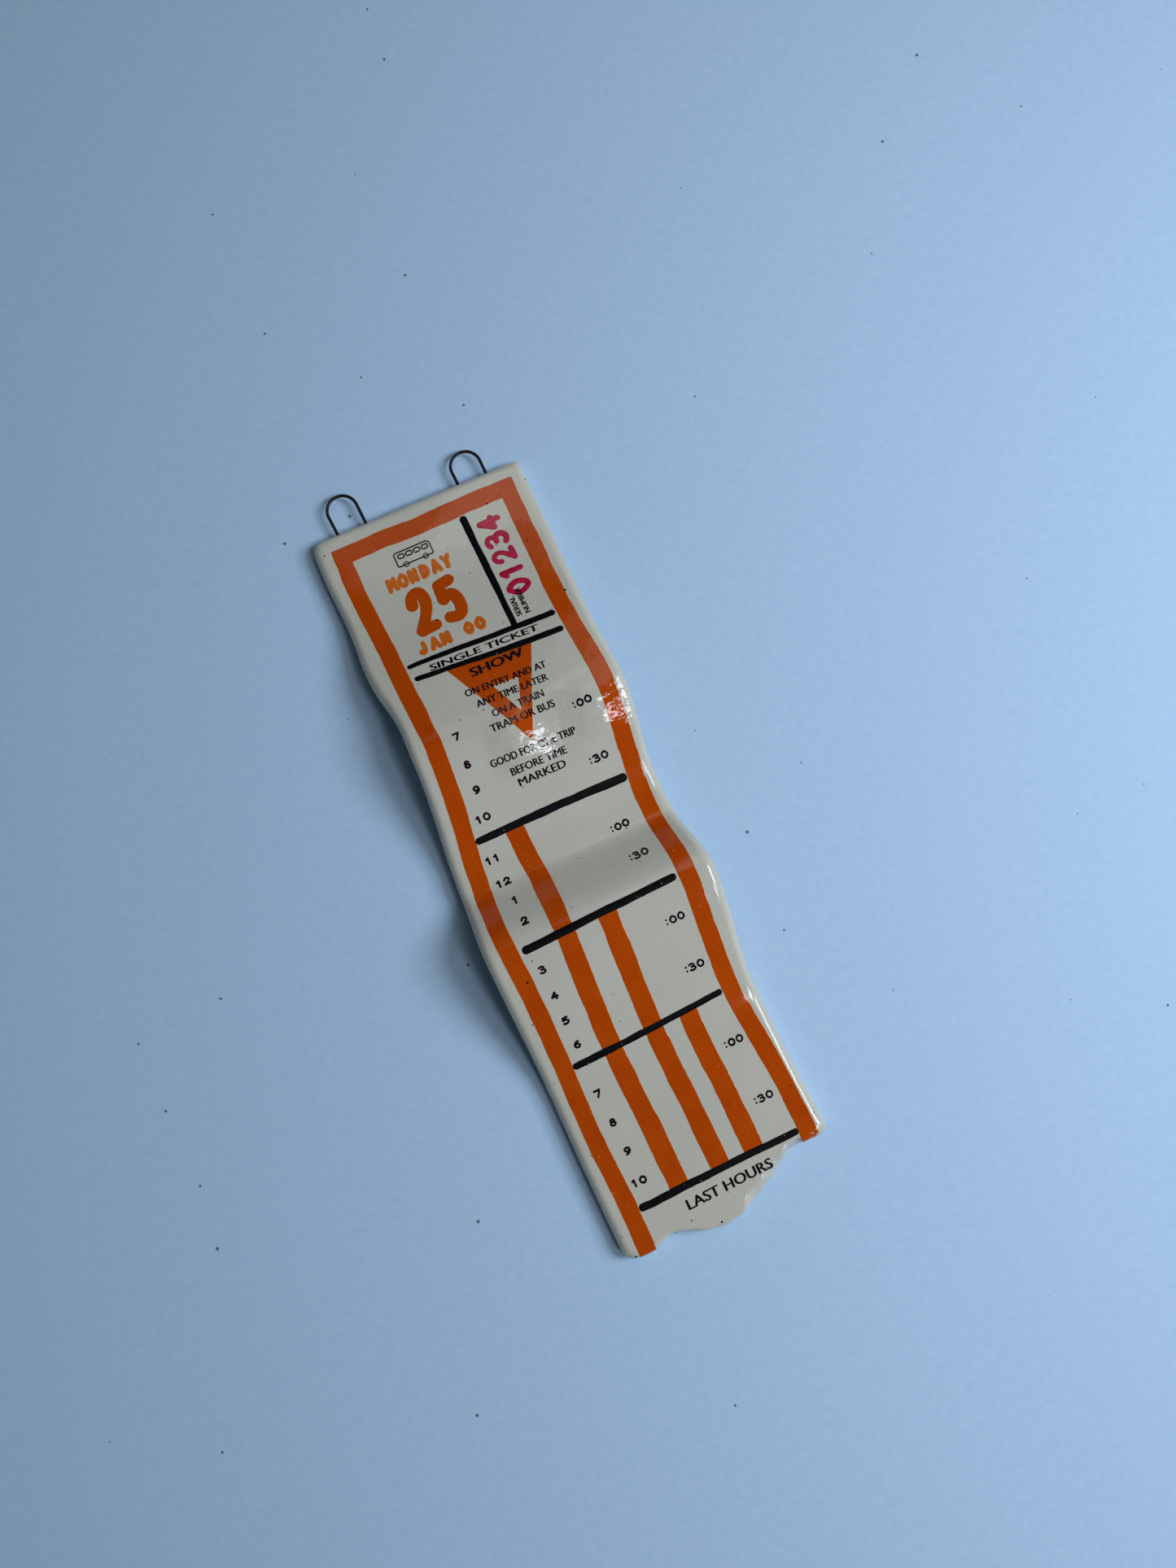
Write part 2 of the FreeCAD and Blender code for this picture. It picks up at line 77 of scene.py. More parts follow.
# How far the brushed side bands and the stripes wander sideways, by distance down.
LEFT_WANDER = [(0, -0.2), (19, -0.1), (29, 0.6), (39, 1.1), (49, 1.8), (59, 2.3),
               (69, 1.9), (79, 0.7), (89, -0.7), (99, -1.4), (109, -1.0), (119, -0.4),
               (139, -0.2), (159, -0.3), (179, 0.6), (192, 0.7)]
RIGHT_WANDER = [(0, -0.3), (19, 0.0), (39, -0.1), (49, 0.4), (59, 1.1), (69, 0.8),
                (79, -0.2), (94, -0.9), (109, 0.0), (119, -0.4), (139, -1.1),
                (154, 0.2), (164, 1.1), (174, 1.6), (192, 1.7)]
STRIPE_WANDER = [(80, -0.9), (89, -0.5), (99, 0.2), (107, 0.5), (119, 0.3), (129, -0.1),
                 (149, -0.1), (159, 0.4), (169, 0.7), (179, 1.0)]


# ---- the wavy surface ----

def wave(down):
    """Lift of the slab's middle: a sum of raised cosines, each nothing past its runs."""
    total = np.zeros_like(down)
    for crest, height, before, after in HILLS:
        run = np.where(down < crest, before, after)
        share = np.minimum(np.abs(down - crest) / run, 1)
        total += height * (1 + np.cos(np.pi * share)) / 2
    return total


def wave_slope(down):
    """The wave's rise for each millimetre down, from two places close together."""
    return (wave(down + 0.01) - wave(down - 0.01)) / 0.02


RIDGE_HEIGHT, RIDGE_DOWN, RIDGE_REACH = 0.7, 60, 6
WOBBLE = 0.045            # height of each of the clay's slow sines


def clay_wobble(across, down):
    """Unevenness of hand-rolled clay: five slow crossed sines, under 0.25 mm together.

    A bell-shaped ridge, where the clay was pinched up, sharpens the first crest.
    """
    ridge = RIDGE_HEIGHT * np.exp(-((down - RIDGE_DOWN - 0.03 * across) / RIDGE_REACH) ** 2)
    sines = (np.sin(across / 5.1 + down / 13 + 0.4) + np.sin(down / 7.3 - across / 16)
             + np.sin(across / 9.7 - down / 21 + 2) + np.sin(down / 4.4 + across / 6.6)
             + np.sin(down / 11.2 + 1))
    return ridge + WOBBLE * sines


STATIONS = np.arange(-30, LENGTH + 30, 0.05)
STATION_SLOPE = wave_slope(STATIONS)
FACE_DOWN = STATIONS - THICK / 2 * STATION_SLOPE / np.hypot(1, STATION_SLOPE)


def station_of(down):
    """The middle surface's station below a place on the face, found by interpolation."""
    return np.interp(down, FACE_DOWN, STATIONS)


def clay_point(across, station, offset):
    """The middle surface at a station, plus an offset along its normal, in metres."""
    slope = wave_slope(station)
    lean = np.hypot(1, slope)
    y = TOP_Y - station + offset * slope / lean
    z = THICK / 2 + wave(station) + offset / lean
    return np.stack([across, y, z], -1) * MM


def on_face(across, down, lift):
    """A place on the face, lifted off the glaze; near the torn end it rolls over the edge.

    Inside the edge's round the lift turns outwards with the round's own normal, whose sine
    is one less the inset over the radius.
    """
    across, down, lift = np.broadcast_arrays(across, down, lift)
    height = THICK / 2 + clay_wobble(across, down) + lift
    across, down = across.copy(), down.copy()
    near = np.nonzero(down > LENGTH - NEAR_TORN)
    if len(near[0]):
        place = np.stack([across[near], down[near]], -1)
        gap = np.hypot(*(place[:, None] - RIM["plan"][None]).transpose(2, 0, 1))
        nearest = gap.argmin(1)
        inward = RIM["inward"][nearest]
        inset = ((place - RIM["plan"][nearest]) * inward).sum(1)
        radius = RIM["radius"][nearest]
        sine = np.clip(1 - inset / radius, 0, 1)
        cosine = np.sqrt(1 - sine ** 2)
        rise = lift[near]
        across[near] -= inward[:, 0] * rise * sine
        down[near] -= inward[:, 1] * rise * sine
        height[near] += -radius * (1 - cosine) - rise * (1 - cosine)
    return clay_point(across, station_of(down), height)


def spline(points, spacing):
    """A natural cubic spline through the points over chord length, evenly sampled."""
    p = np.asarray(points, float)
    knots = np.concatenate([[0], np.cumsum(np.hypot(*np.diff(p, axis=0).T))])
    h = np.diff(knots)
    n = len(p)
    system = np.eye(n)
    right = np.zeros((n, 2))
    inner = np.arange(1, n - 1)
    system[inner, inner - 1] = h[:-1]
    system[inner, inner] = 2 * (h[:-1] + h[1:])
    system[inner, inner + 1] = h[1:]
    right[1:-1] = 6 * ((p[2:] - p[1:-1]) / h[1:, None] - (p[1:-1] - p[:-2]) / h[:-1, None])
    bend = np.linalg.solve(system, right)
    at = np.linspace(0, knots[-1], max(int(round(knots[-1] / spacing)), 2) + 1)
    i = np.clip(np.searchsorted(knots, at) - 1, 0, n - 2)
    a = ((knots[i + 1] - at) / h[i])[:, None]
    b = 1 - a
    step = (h[i] ** 2)[:, None] / 6
    return a * p[i] + b * p[i + 1] + ((a ** 3 - a) * bend[i] + (b ** 3 - b) * bend[i + 1]) * step


def evenly(path, count):
    """The same path, with a chosen number of evenly spaced points."""
    run = np.concatenate([[0], np.cumsum(np.hypot(*np.diff(path, axis=0).T))])
    at = np.linspace(0, run[-1], count)
    return np.stack([np.interp(at, run, path[:, 0]), np.interp(at, run, path[:, 1])], -1)


def noise_line(length, wavelength, seed):
    """Smooth seeded noise along a line: random values at the wavelength, cosine-joined."""
    draw = np.random.default_rng(seed)
    knots = np.arange(-2, length.max() / wavelength + 3)
    values = draw.uniform(-1, 1, len(knots))
    place = length / wavelength
    i = np.floor(place).astype(int) + 2
    share = place - np.floor(place)
    later = (1 - np.cos(np.pi * share)) / 2
    return values[i] * (1 - later) + values[i + 1] * later


def ease(value, low, high):
    """Goes smoothly from 0 at the low value to 1 at the high one."""
    share = np.clip((value - low) / (high - low), 0, 1)
    return share * share * (3 - 2 * share)


# ---- meshes ----

def close_seams(mesh, reach):
    """Merges points closer than the reach in metres, and turns every face outwards."""
    soft = bmesh.new()
    soft.from_mesh(mesh)
    bmesh.ops.remove_doubles(soft, verts=soft.verts, dist=reach)
    bmesh.ops.recalc_face_normals(soft, faces=soft.faces)
    soft.to_mesh(mesh)
    soft.free()


def mount(name, mesh, material, replaces=()):
    """Makes a finished mesh a piece that rides on the ticket's one body."""
    mesh.materials.append(material)
    piece = bpy.data.objects.new(name, mesh)
    bpy.context.scene.collection.objects.link(piece)
    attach(piece, "root")
    if replaces:
        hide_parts(*replaces)


def build(name, points, faces, material, uv=None, replaces=()):
    """Puts worked-out points and faces into a smooth mesh that rides on the ticket."""
    mesh = bpy.data.meshes.new(name)
    mesh.from_pydata(points.reshape(-1, 3).tolist(), [], faces.tolist())
    if uv is not None:
        layer = mesh.uv_layers.new(name="Brush")
        corners = np.zeros(len(mesh.loops), np.int32)
        mesh.loops.foreach_get("vertex_index", corners)
        layer.data.foreach_set("uv", uv.reshape(-1, 2)[corners].astype(np.float32).ravel())
    mesh.polygons.foreach_set("use_smooth", np.ones(len(mesh.polygons), bool))
    close_seams(mesh, 2e-7)
    mount(name, mesh, material, replaces)


def grid_faces(rows, columns, wrap_rows=False, wrap_columns=False):
    """Quads of a grid of points, joined round in either direction."""
    i = np.arange(rows if wrap_rows else rows - 1)
    j = np.arange(columns if wrap_columns else columns - 1)
    i, j = np.meshgrid(i, j, indexing="ij")
    below, right = (i + 1) % rows, (j + 1) % columns
    corners = [i * columns + j, below * columns + j, below * columns + right, i * columns + right]
    return np.stack([c.ravel() for c in corners], -1)


# ---- the clay slab ----

ACROSS_CELLS, DOWN_CELLS = 108, 340
SMOOTH_INSET = 3.0        # inset where the face's grid takes over from the edge's rings


def side_curve(bulges, sign, corner):
    """One long side, by a spline through its bulges that ends at the torn end's corner."""
    points = [(sign * (HALF + bulge), down) for down, bulge in bulges]
    return spline([p for p in points if p[1] < corner[1] - 5] + [corner], 0.25)


def torn_curve():
    """The tear: a smooth run through its points, roughened at two small scales."""
    path = spline([((2 * s - 1) * HALF, LENGTH - up) for s, up in TORN_END], 0.1)
    run = np.arange(len(path)) * 0.1
    calm = ease(run, 0, 4) * ease(run[-1] - run, 0, 4)
    path[:, 1] += calm * (0.20 * noise_line(run, 2.3, 5) + 0.09 * noise_line(run, 1.2, 6))
    return path


def blur_loop(loop, sigma):
    """A closed loop smoothed by a Gaussian along it, by multiplying its Fourier terms."""
    step = np.hypot(*(np.roll(loop, -1, 0) - loop).T).mean()
    waves = np.fft.fftfreq(len(loop), step)
    keep = np.exp(-2 * (np.pi * sigma * waves) ** 2)[:, None]
    return np.real(np.fft.ifft(np.fft.fft(loop, axis=0) * keep, axis=0))


def slab_outline():
    """The closed plan loop: top edge, right side, torn end and left side, in that order."""
    torn = torn_curve()
    left = side_curve(LEFT_BULGE, -1, tuple(torn[0]))
    right = side_curve(RIGHT_BULGE, 1, tuple(torn[-1]))
    top = np.linspace(left[0], right[0], 200)
    runs = [(top, ACROSS_CELLS), (right, DOWN_CELLS), (torn[::-1], ACROSS_CELLS),
            (left[::-1], DOWN_CELLS)]
    return np.concatenate([evenly(path, count + 1)[:-1] for path, count in runs])


def fill_inside(loop):
    """A grid over the loop's inside: each point blends the four sides it lies between."""
    a, b = ACROSS_CELLS, DOWN_CELLS
    closed = np.vstack([loop, loop[:1]])
    top, right = closed[:a + 1], closed[a:a + b + 1]
    foot, left = closed[a + b:2 * a + b + 1][::-1], closed[2 * a + b:][::-1]
    u = np.linspace(0, 1, a + 1)[None, :, None]
    v = np.linspace(0, 1, b + 1)[:, None, None]
    sides = (1 - v) * top[None] + v * foot[None] + (1 - u) * left[:, None] + u * right[:, None]
    corners = ((1 - u) * (1 - v) * top[0] + u * (1 - v) * top[-1]
               + (1 - u) * v * foot[0] + u * v * foot[-1])
    return sides - corners


def make_rim():
    """The slab's edge in plan, with its inward direction, face radius and broken facet.

    The torn end keeps its roughness; elsewhere the outline is smoothed, and more so at the
    two left corners, which are rounder.
    """
    outline = slab_outline()
    a, b = ACROSS_CELLS, DOWN_CELLS
    index = np.arange(len(outline))
    at_torn = ease(index, a + b, a + b + 6) * ease(2 * a + b - index, 0, 6)
    rim = blur_loop(outline, 1.1)
    rim += (outline - rim) * at_torn[:, None]
    from_top_left = np.minimum(index, len(outline) - index)
    rounder = np.exp(-(np.minimum(from_top_left, np.abs(index - 2 * a - b)) / 8.0) ** 2)
    rim += (blur_loop(outline, 2.2) - rim) * rounder[:, None]
    calm = blur_loop(outline, 4.0)
    along = np.roll(calm, -1, 0) - np.roll(calm, 1, 0)
    inward = np.stack([-along[:, 1], along[:, 0]], -1) / np.hypot(*along.T)[:, None]
    run = np.cumsum(np.hypot(*(outline - np.roll(outline, 1, 0)).T))
    # Where the tear runs up to the right, the face breaks away in a slanting facet.
    facet = at_torn * ease(outline[:, 0], 3, 7) * ease(23.5 - outline[:, 0], 0, 3)
    at_right = ease(index, a, a + 12) * ease(a + b - index, 0, 10)
    at_left = ease(index, 2 * a + b, 2 * a + b + 12)
    radius = (FACE_ROUND + at_torn * (1 - facet) * (0.25 * noise_line(run, 3.1, 8) - 0.7)
              + at_right * (0.5 + 0.1 * noise_line(run, 11.0, 20))
              + at_left * (0.35 + 0.1 * noise_line(run, 14.0, 22)))
    return {"plan": rim, "calm": calm, "inward": inward, "run": run, "facet": facet,
            "radius": radius, "ridged": at_right}


def make_slab(material):
    """Rings carry the edge's profile round the outline, and a grid closes face and back."""
    rim, calm, inward = RIM["plan"], RIM["calm"], RIM["inward"]
    run, facet, radius = RIM["run"], RIM["facet"], RIM["radius"]
    a, b = ACROSS_CELLS, DOWN_CELLS
    facet_width = 2.3 + 0.6 * noise_line(run, 2.9, 9) + 0.25 * noise_line(run, 1.3, 10)

    turn = np.linspace(0, np.pi / 2, 13)[:, None]
    face_in = radius * (1 - np.sin(turn))
    face_up = THICK / 2 - radius * (1 - np.cos(turn))
    share = np.linspace(0, 1, 13)[:, None]
    hollow = 0.35 * np.sin(np.pi * share) * (1 + 0.5 * noise_line(run, 1.7, 11))
    facet_in = facet_width * (1 - share) + hollow
    facet_up = THICK / 2 - 3.4 * share ** 1.7
    # The right edge was smoothed lengthwise with a finger, which left shallow ridges.
    ridge_turn = np.pi * (6.5 * turn / np.pi + 0.8 * noise_line(run, 26.0, 21))
    face_up = face_up + RIM["ridged"] * 0.06 * np.sin(2 * turn) * np.sin(ridge_turn)
    face_in = face_in + (facet_in - face_in) * facet
    face_up = face_up + (facet_up - face_up) * facet
    wall = np.linspace(0, 1, 6)[1:-1, None]
    wall_low = -THICK / 2 + BACK_ROUND
    wall_up = face_up[-1] + (wall_low - face_up[-1]) * wall
    wall_in = -0.12 * np.sin(np.pi * wall) + 0 * wall_up
    back_turn = turn[::3]
    back_in = BACK_ROUND * (1 - np.cos(back_turn)) + 0 * run
    back_up = -THICK / 2 + BACK_ROUND * (1 - np.sin(back_turn)) + 0 * run
    lead = np.array([[SMOOTH_INSET], [2.6]])
    insets = np.vstack([lead + 0 * run, face_in, wall_in, back_in, lead[::-1] + 0 * run])
    heights = np.vstack([THICK / 2 + 0 * lead + 0 * run, face_up, wall_up, back_up,
                         -THICK / 2 + 0 * lead + 0 * run])

    blend = np.clip(insets / SMOOTH_INSET, 0, 1)[..., None]
    plan = rim + (calm - rim) * blend + inward * insets[..., None]
    on_top = ease(heights, -THICK / 2, THICK / 2)
    wobble = clay_wobble(plan[..., 0], plan[..., 1]) * on_top
    rings = clay_point(plan[..., 0], station_of(plan[..., 1]), heights + wobble)

    def sheet(ring, height, shaken):
        """The grid inside a ring at a height, with the clay's wobble or without it."""
        inside = fill_inside(ring)
        rise = height + (clay_wobble(inside[..., 0], inside[..., 1]) if shaken else 0)
        return clay_point(inside[..., 0], station_of(inside[..., 1]), rise)

    face = sheet(plan[0], THICK / 2, True)
    back = sheet(plan[-1], -THICK / 2, False)
    back[..., 2] = np.maximum(back[..., 2], 0)
    rings[..., 2] = np.maximum(rings[..., 2], 0)
    ring_faces = grid_faces(len(rings), len(rim), wrap_columns=True)
    face_faces = grid_faces(b + 1, a + 1) + rings[..., 0].size
    back_faces = grid_faces(b + 1, a + 1)[:, ::-1] + rings[..., 0].size + face[..., 0].size
    points = np.concatenate([rings.reshape(-1, 3), face.reshape(-1, 3), back.reshape(-1, 3)])
    build("glazed_clay_slab", points, np.vstack([ring_faces, face_faces, back_faces]),
          material, replaces=["ticket_slab"])


# ---- brush strokes ----

SINK = 0.10               # how far a stroke's underside lies below the glaze


def stroke(path, half_width, lift, seed=1, ragged=0.06, ends=(True, True),
           across_points=14, dome=0.35):
    """A low dome of colour carried along a path: half an ellipse over a sunken flat one.

    Each end closes in a half circle or, if not round, in a short blunt brush end.  Both
    edges wander a little on their own, as a loaded brush leaves them.
    """
    path = np.asarray(path, float)
    run = np.concatenate([[0], np.cumsum(np.hypot(*np.diff(path, axis=0).T))])
    width = np.broadcast_to(np.asarray(half_width, float), run.shape)
    along = np.gradient(path, axis=0)
    along /= np.maximum(np.hypot(*along.T), 1e-9)[:, None]
    side = np.stack([along[:, 1], -along[:, 0]], -1)
    close = np.ones_like(run)
    for is_round, end, reach in ((ends[0], run, width[0]), (ends[1], run[-1] - run, width[-1])):
        length = reach if is_round else 0.35
        power = 2.0 if is_round else 3.5
        inside = np.clip(1 - end / length, 0, 1)
        close *= np.maximum(1 - inside ** power, 0) ** (1 / power)
    turn = np.linspace(0, 2 * np.pi, 2 * across_points, endpoint=False)
    u, v = np.cos(turn), np.sin(turn)
    edges = [ragged * (0.8 * noise_line(run, 4.3, seed + k)
                       + 0.3 * noise_line(run, 1.1, seed + 9 + k)) for k in (0, 3)]
    reach = np.where(u > 0, (width + edges[0])[:, None], (width + edges[1])[:, None])
    place = path[:, None] + side[:, None] * (u * reach * close[:, None])[..., None]
    thickness = np.minimum(close, 1)[:, None]
    height = np.where(v > 0, lift * np.abs(v) ** dome, -SINK * np.abs(v) ** 0.4) * thickness ** 0.5
    points = on_face(place[..., 0], place[..., 1], height)
    uv = np.stack([np.broadcast_to((u + 1) / 2, height.shape),
                   np.broadcast_to(run[:, None] / 10, height.shape)], -1)
    return points, grid_faces(len(run), len(turn), wrap_columns=True), uv


def build_strokes(name, strokes, material, replaces=()):
    """One piece from several strokes' surfaces."""
    starts = np.cumsum([0] + [points[..., 0].size for points, _, _ in strokes])
    points = np.concatenate([part[0].reshape(-1, 3) for part in strokes])
    faces = np.concatenate([part[1] + start for part, start in zip(strokes, starts)])
    uv = np.concatenate([part[2].reshape(-1, 2) for part in strokes])
    build(name, points, faces, material, uv=uv, replaces=replaces)


def end_stations(length, spacing, reach):
    """Places along a stroke: even in its middle, and closer and closer to both its ends."""
    count = max(int(length / spacing), 8)
    middle = np.linspace(0, length, count)
    close_in = reach * (1 - np.cos(np.linspace(0, np.pi / 2, 9)))
    return np.unique(np.concatenate([middle, close_in, length - close_in]).clip(0, length))


def resample(path, spacing, reach):
    """The same path at a stroke's stations, which crowd towards its ends."""
    run = np.concatenate([[0], np.cumsum(np.hypot(*np.diff(path, axis=0).T))])
    at = end_stations(run[-1], spacing, min(reach, run[-1] / 2))
    return np.stack([np.interp(at, run, path[:, 0]), np.interp(at, run, path[:, 1])], -1)


# ---- materials ----

def colour(code):
    """A linear colour from an sRGB hex code."""
    parts = [int(code[i:i + 2], 16) / 255 for i in (1, 3, 5)]
    return (*[c / 12.92 if c <= 0.04045 else ((c + 0.055) / 1.055) ** 2.4 for c in parts], 1)


def add(tree, kind, out=0, **parts):
    """Adds a node and gives back one of its outputs, if it has any.

    A lower-case keyword is a setting.  A capitalised one names a socket, and one that is an
    underscore and a number counts to it; either takes a value or another node's output.
    """
    node = tree.nodes.new("ShaderNode" + kind)
    for key, value in parts.items():
        if key[0].islower():
            setattr(node, key, value)
            continue
        socket = node.inputs[int(key[1:]) if key[0] == "_" else key.replace("_", " ")]
        if isinstance(value, bpy.types.NodeSocket):
            tree.links.new(value, socket)
        else:
            socket.default_value = value
    return node.outputs[out] if node.outputs else None


def finish_named(name):
    """A new material with an empty node tree."""
    material = bpy.data.materials.new(name)
    material.use_nodes = True
    material.node_tree.nodes.clear()
    return material, material.node_tree


# The pinched crest's facets, in metres on the ticket: where they fade in and out across
# it and along it, the size of one facet, and the heights of the ripple and of the swell.
FACETS_ACROSS = (-14 * MM, -2 * MM)
FACETS_ALONG = ((13.5 * MM, 19 * MM), (31 * MM, 25 * MM))
FACET_LONG, FACET_WIDE = 3.6 * MM, 2.0 * MM
FACET_TURN = 0.3          # radians
RIPPLE_HEIGHT, SWELL_HEIGHT = 0.32 * MM, 0.50 * MM
SWELL_REACH, SWELL_START = 3.4 * MM, 2.26


def crest_facets(tree, place, under):
    """Finger facets on the pinched crest, as bump only: the mesh is smooth there.

    A sine across the ticket, 1 mm from trough to top, leans two places to the right, and a
    noise ripple on it breaks a reflection up.  Its start is set so that the leaning places
    are at about 3 and 24 mm across, and they catch the roof light there.
    """
    across = add(tree, "SeparateXYZ", 0, Vector=place)
    along = add(tree, "SeparateXYZ", 1, Vector=place)
    inside = add(tree, "MapRange", interpolation_type="SMOOTHSTEP", Value=across,
                 From_Min=FACETS_ACROSS[0], From_Max=FACETS_ACROSS[1])
    for start, end in FACETS_ALONG:
        part = add(tree, "MapRange", interpolation_type="SMOOTHSTEP", Value=along,
                   From_Min=start, From_Max=end)
        inside = add(tree, "Math", operation="MULTIPLY", _0=inside, _1=part)
    facets = add(tree, "Mapping", Vector=place, Scale=(1 / FACET_LONG, 1 / FACET_WIDE, 1.0),
                 Rotation=(0.0, 0.0, FACET_TURN))
    ripple = add(tree, "TexNoise", Vector=facets, Scale=1.0, Detail=2.5)
    ripple_height = add(tree, "Math", operation="MULTIPLY", _0=ripple, _1=RIPPLE_HEIGHT)
    swing = add(tree, "Math", operation="MULTIPLY_ADD", _0=across, _1=1 / SWELL_REACH,
                _2=SWELL_START)
    swell = add(tree, "Math", operation="SINE", _0=swing)
    raised = add(tree, "Math", operation="MULTIPLY_ADD", _0=swell, _1=SWELL_HEIGHT,
                 _2=ripple_height)
    height = add(tree, "Math", operation="MULTIPLY", _0=raised, _1=inside)
    return add(tree, "Bump", Strength=1.0, Distance=1.0, Height=height, Normal=under)


def glaze_peel(tree, place, strength):
    """The orange peel of a fired glaze, slow 4 mm ripples under fine 0.9 mm ones."""
    slow = add(tree, "TexNoise", Vector=place, Scale=1 / (4.0 * MM), Detail=1.5)
    slow_bump = add(tree, "Bump", Strength=strength, Distance=0.10 * MM, Height=slow)
    fine = add(tree, "TexNoise", Vector=place, Scale=1 / (0.9 * MM), Detail=2.0)
    peel = add(tree, "Bump", Strength=strength, Distance=0.012 * MM, Height=fine,
               Normal=slow_bump)
    return crest_facets(tree, place, peel)


def speckle(tree, place, spacing, size_mm, share):
    """Sparse dots: one per cell of a plan Voronoi pattern, kept in a share of the cells.

    The pattern is laid out in plan, so on a steep wall a dot is drawn out into a streak.
    """
    settings = {"voronoi_dimensions": "2D", "feature": "F1"}
    distance = add(tree, "TexVoronoi", "Distance", Vector=place, Scale=1 / (spacing * MM),
                   **settings)
    chance = add(tree, "TexVoronoi", "Color", Vector=place, Scale=1 / (spacing * MM), **settings)
    pick = add(tree, "SeparateColor", 0, Color=chance)
    size = add(tree, "SeparateColor", 1, Color=chance)
    reach = add(tree, "Math", operation="MULTIPLY", _0=size, _1=size_mm / spacing)
    inside = add(tree, "Math", operation="LESS_THAN", _0=distance, _1=reach)
    kept = add(tree, "Math", operation="LESS_THAN", _0=pick, _1=share)
    return add(tree, "Math", operation="MULTIPLY", _0=inside, _1=kept)


def glazed_clay():
    """White stoneware under clear gloss glaze: soft cream body, iron specks, wet shine."""
    material, tree = finish_named("glazed_white_stoneware")
    place = add(tree, "TexCoord", "Object")
    cloud = add(tree, "TexNoise", Vector=place, Scale=1 / (22 * MM), Detail=3.0)
    body = add(tree, "Mix", 2, data_type="RGBA", _0=cloud, _6=colour("#D2D1C3"),
               _7=colour("#C9C8B9"))
    # Fine grain of the clay shows faintly through the glaze, coarser than it really is.
    grain = add(tree, "TexNoise", Vector=place, Scale=1 / (0.5 * MM), Detail=3.0)
    grain_share = add(tree, "MapRange", Value=grain, From_Min=0.42, From_Max=0.75,
                      To_Min=0.0, To_Max=0.35)
    body = add(tree, "Mix", 2, data_type="RGBA", _0=grain_share, _6=body, _7=colour("#B9B4A2"))
    specks = speckle(tree, place, 6.5, 0.22, 0.3)
    body = add(tree, "Mix", 2, data_type="RGBA", _0=specks, _6=body, _7=colour("#6A5A4C"))
    shader = add(tree, "BsdfPrincipled", Base_Color=body, Roughness=0.08, IOR=1.5,
                 Normal=glaze_peel(tree, place, 0.6))
    add(tree, "OutputMaterial", Surface=shader)
    return material


def brushed_orange(name, strong, thin):
    """Orange underglaze laid by brush under clear glaze: streaky, redder where it pools."""
    material, tree = finish_named(name)
    place = add(tree, "TexCoord", "Object")
    brush = add(tree, "TexCoord", "UV")
    stretched = add(tree, "Mapping", Vector=brush, Scale=(9.0, 2.2, 1.0))
    streak = add(tree, "TexNoise", Vector=stretched, Scale=1.0, Detail=3.0, Roughness=0.6)
    pool = add(tree, "TexNoise", Vector=place, Scale=1 / (9 * MM), Detail=2.0)
    both = add(tree, "Math", operation="ADD", _0=streak, _1=pool)
    share = add(tree, "MapRange", Value=both, From_Min=0.6, From_Max=1.4, To_Min=0.0,
                To_Max=1.0)
    paint = add(tree, "Mix", 2, data_type="RGBA", _0=share, _6=colour(strong), _7=colour(thin))
    # Towards both edges of the stroke the colour thins to a yellow fringe.
    across = add(tree, "SeparateXYZ", 0, Vector=brush)
    centred = add(tree, "Math", operation="SUBTRACT", _0=across, _1=0.5)
    out = add(tree, "Math", operation="ABSOLUTE", _0=centred)
    fringe = add(tree, "MapRange", interpolation_type="SMOOTHSTEP", Value=out, From_Min=0.475,
                 From_Max=0.5, To_Min=0.0, To_Max=0.7)
    paint = add(tree, "Mix", 2, data_type="RGBA", _0=fringe, _6=paint, _7=colour("#DC9A48"))
    bubbles = speckle(tree, place, 1.8, 0.18, 0.12)
    bubble_share = add(tree, "Math", operation="MULTIPLY", _0=bubbles, _1=0.45)
    paint = add(tree, "Mix", 2, data_type="RGBA", _0=bubble_share, _6=paint,
                _7=colour("#F0A868"))
    specks = speckle(tree, place, 7.5, 0.30, 0.3)
    paint = add(tree, "Mix", 2, data_type="RGBA", _0=specks, _6=paint, _7=colour("#3A1208"))
    shader = add(tree, "BsdfPrincipled", Base_Color=paint, Roughness=0.08, IOR=1.5,
                 Normal=glaze_peel(tree, place, 0.6))
    add(tree, "OutputMaterial", Surface=shader)
    return material


def black_line_glaze():
    """Thick blue-black trailing glaze: a raised satin bead with pale blue-grey dots, which are
    pinholes and also painted glints of light on its top.
    """
    material, tree = finish_named("trailed_blue_black_glaze")
    place = add(tree, "TexCoord", "Object")
    cloud = add(tree, "TexNoise", Vector=place, Scale=1 / (2.5 * MM), Detail=3.0)
    body = add(tree, "Mix", 2, data_type="RGBA", _0=cloud, _6=colour("#010203"),
               _7=colour("#05080D"))
    # Pale blue-grey dots on the bead: painted glints where light catches its raised top, which
    # also stand for pinholes.
    pinholes_and_glints = speckle(tree, place, 1.3, 0.14, 0.12)
    body = add(tree, "Mix", 2, data_type="RGBA", _0=pinholes_and_glints, _6=body, _7=colour("#8E949C"))
    shader = add(tree, "BsdfPrincipled", Base_Color=body, Roughness=0.5, IOR=1.5,
                 Specular_IOR_Level=0.1, Normal=glaze_peel(tree, place, 1.0))
    add(tree, "OutputMaterial", Surface=shader)
    return material


def thin_ink(name, patch, detail, most, dark, light):
    """Thin colour under or on the glaze, uneven in patches of a size in millimetres."""
    material, tree = finish_named(name)
    place = add(tree, "TexCoord", "Object")
    cover = add(tree, "TexNoise", Vector=place, Scale=1 / (patch * MM), Detail=detail)
    share = add(tree, "MapRange", Value=cover, From_Min=0.35, From_Max=most)
    ink = add(tree, "Mix", 2, data_type="RGBA", _0=share, _6=colour(dark), _7=colour(light))
    shader = add(tree, "BsdfPrincipled", Base_Color=ink, Roughness=0.1, IOR=1.5,
                 Normal=glaze_peel(tree, place, 0.5))
    add(tree, "OutputMaterial", Surface=shader)
    return material


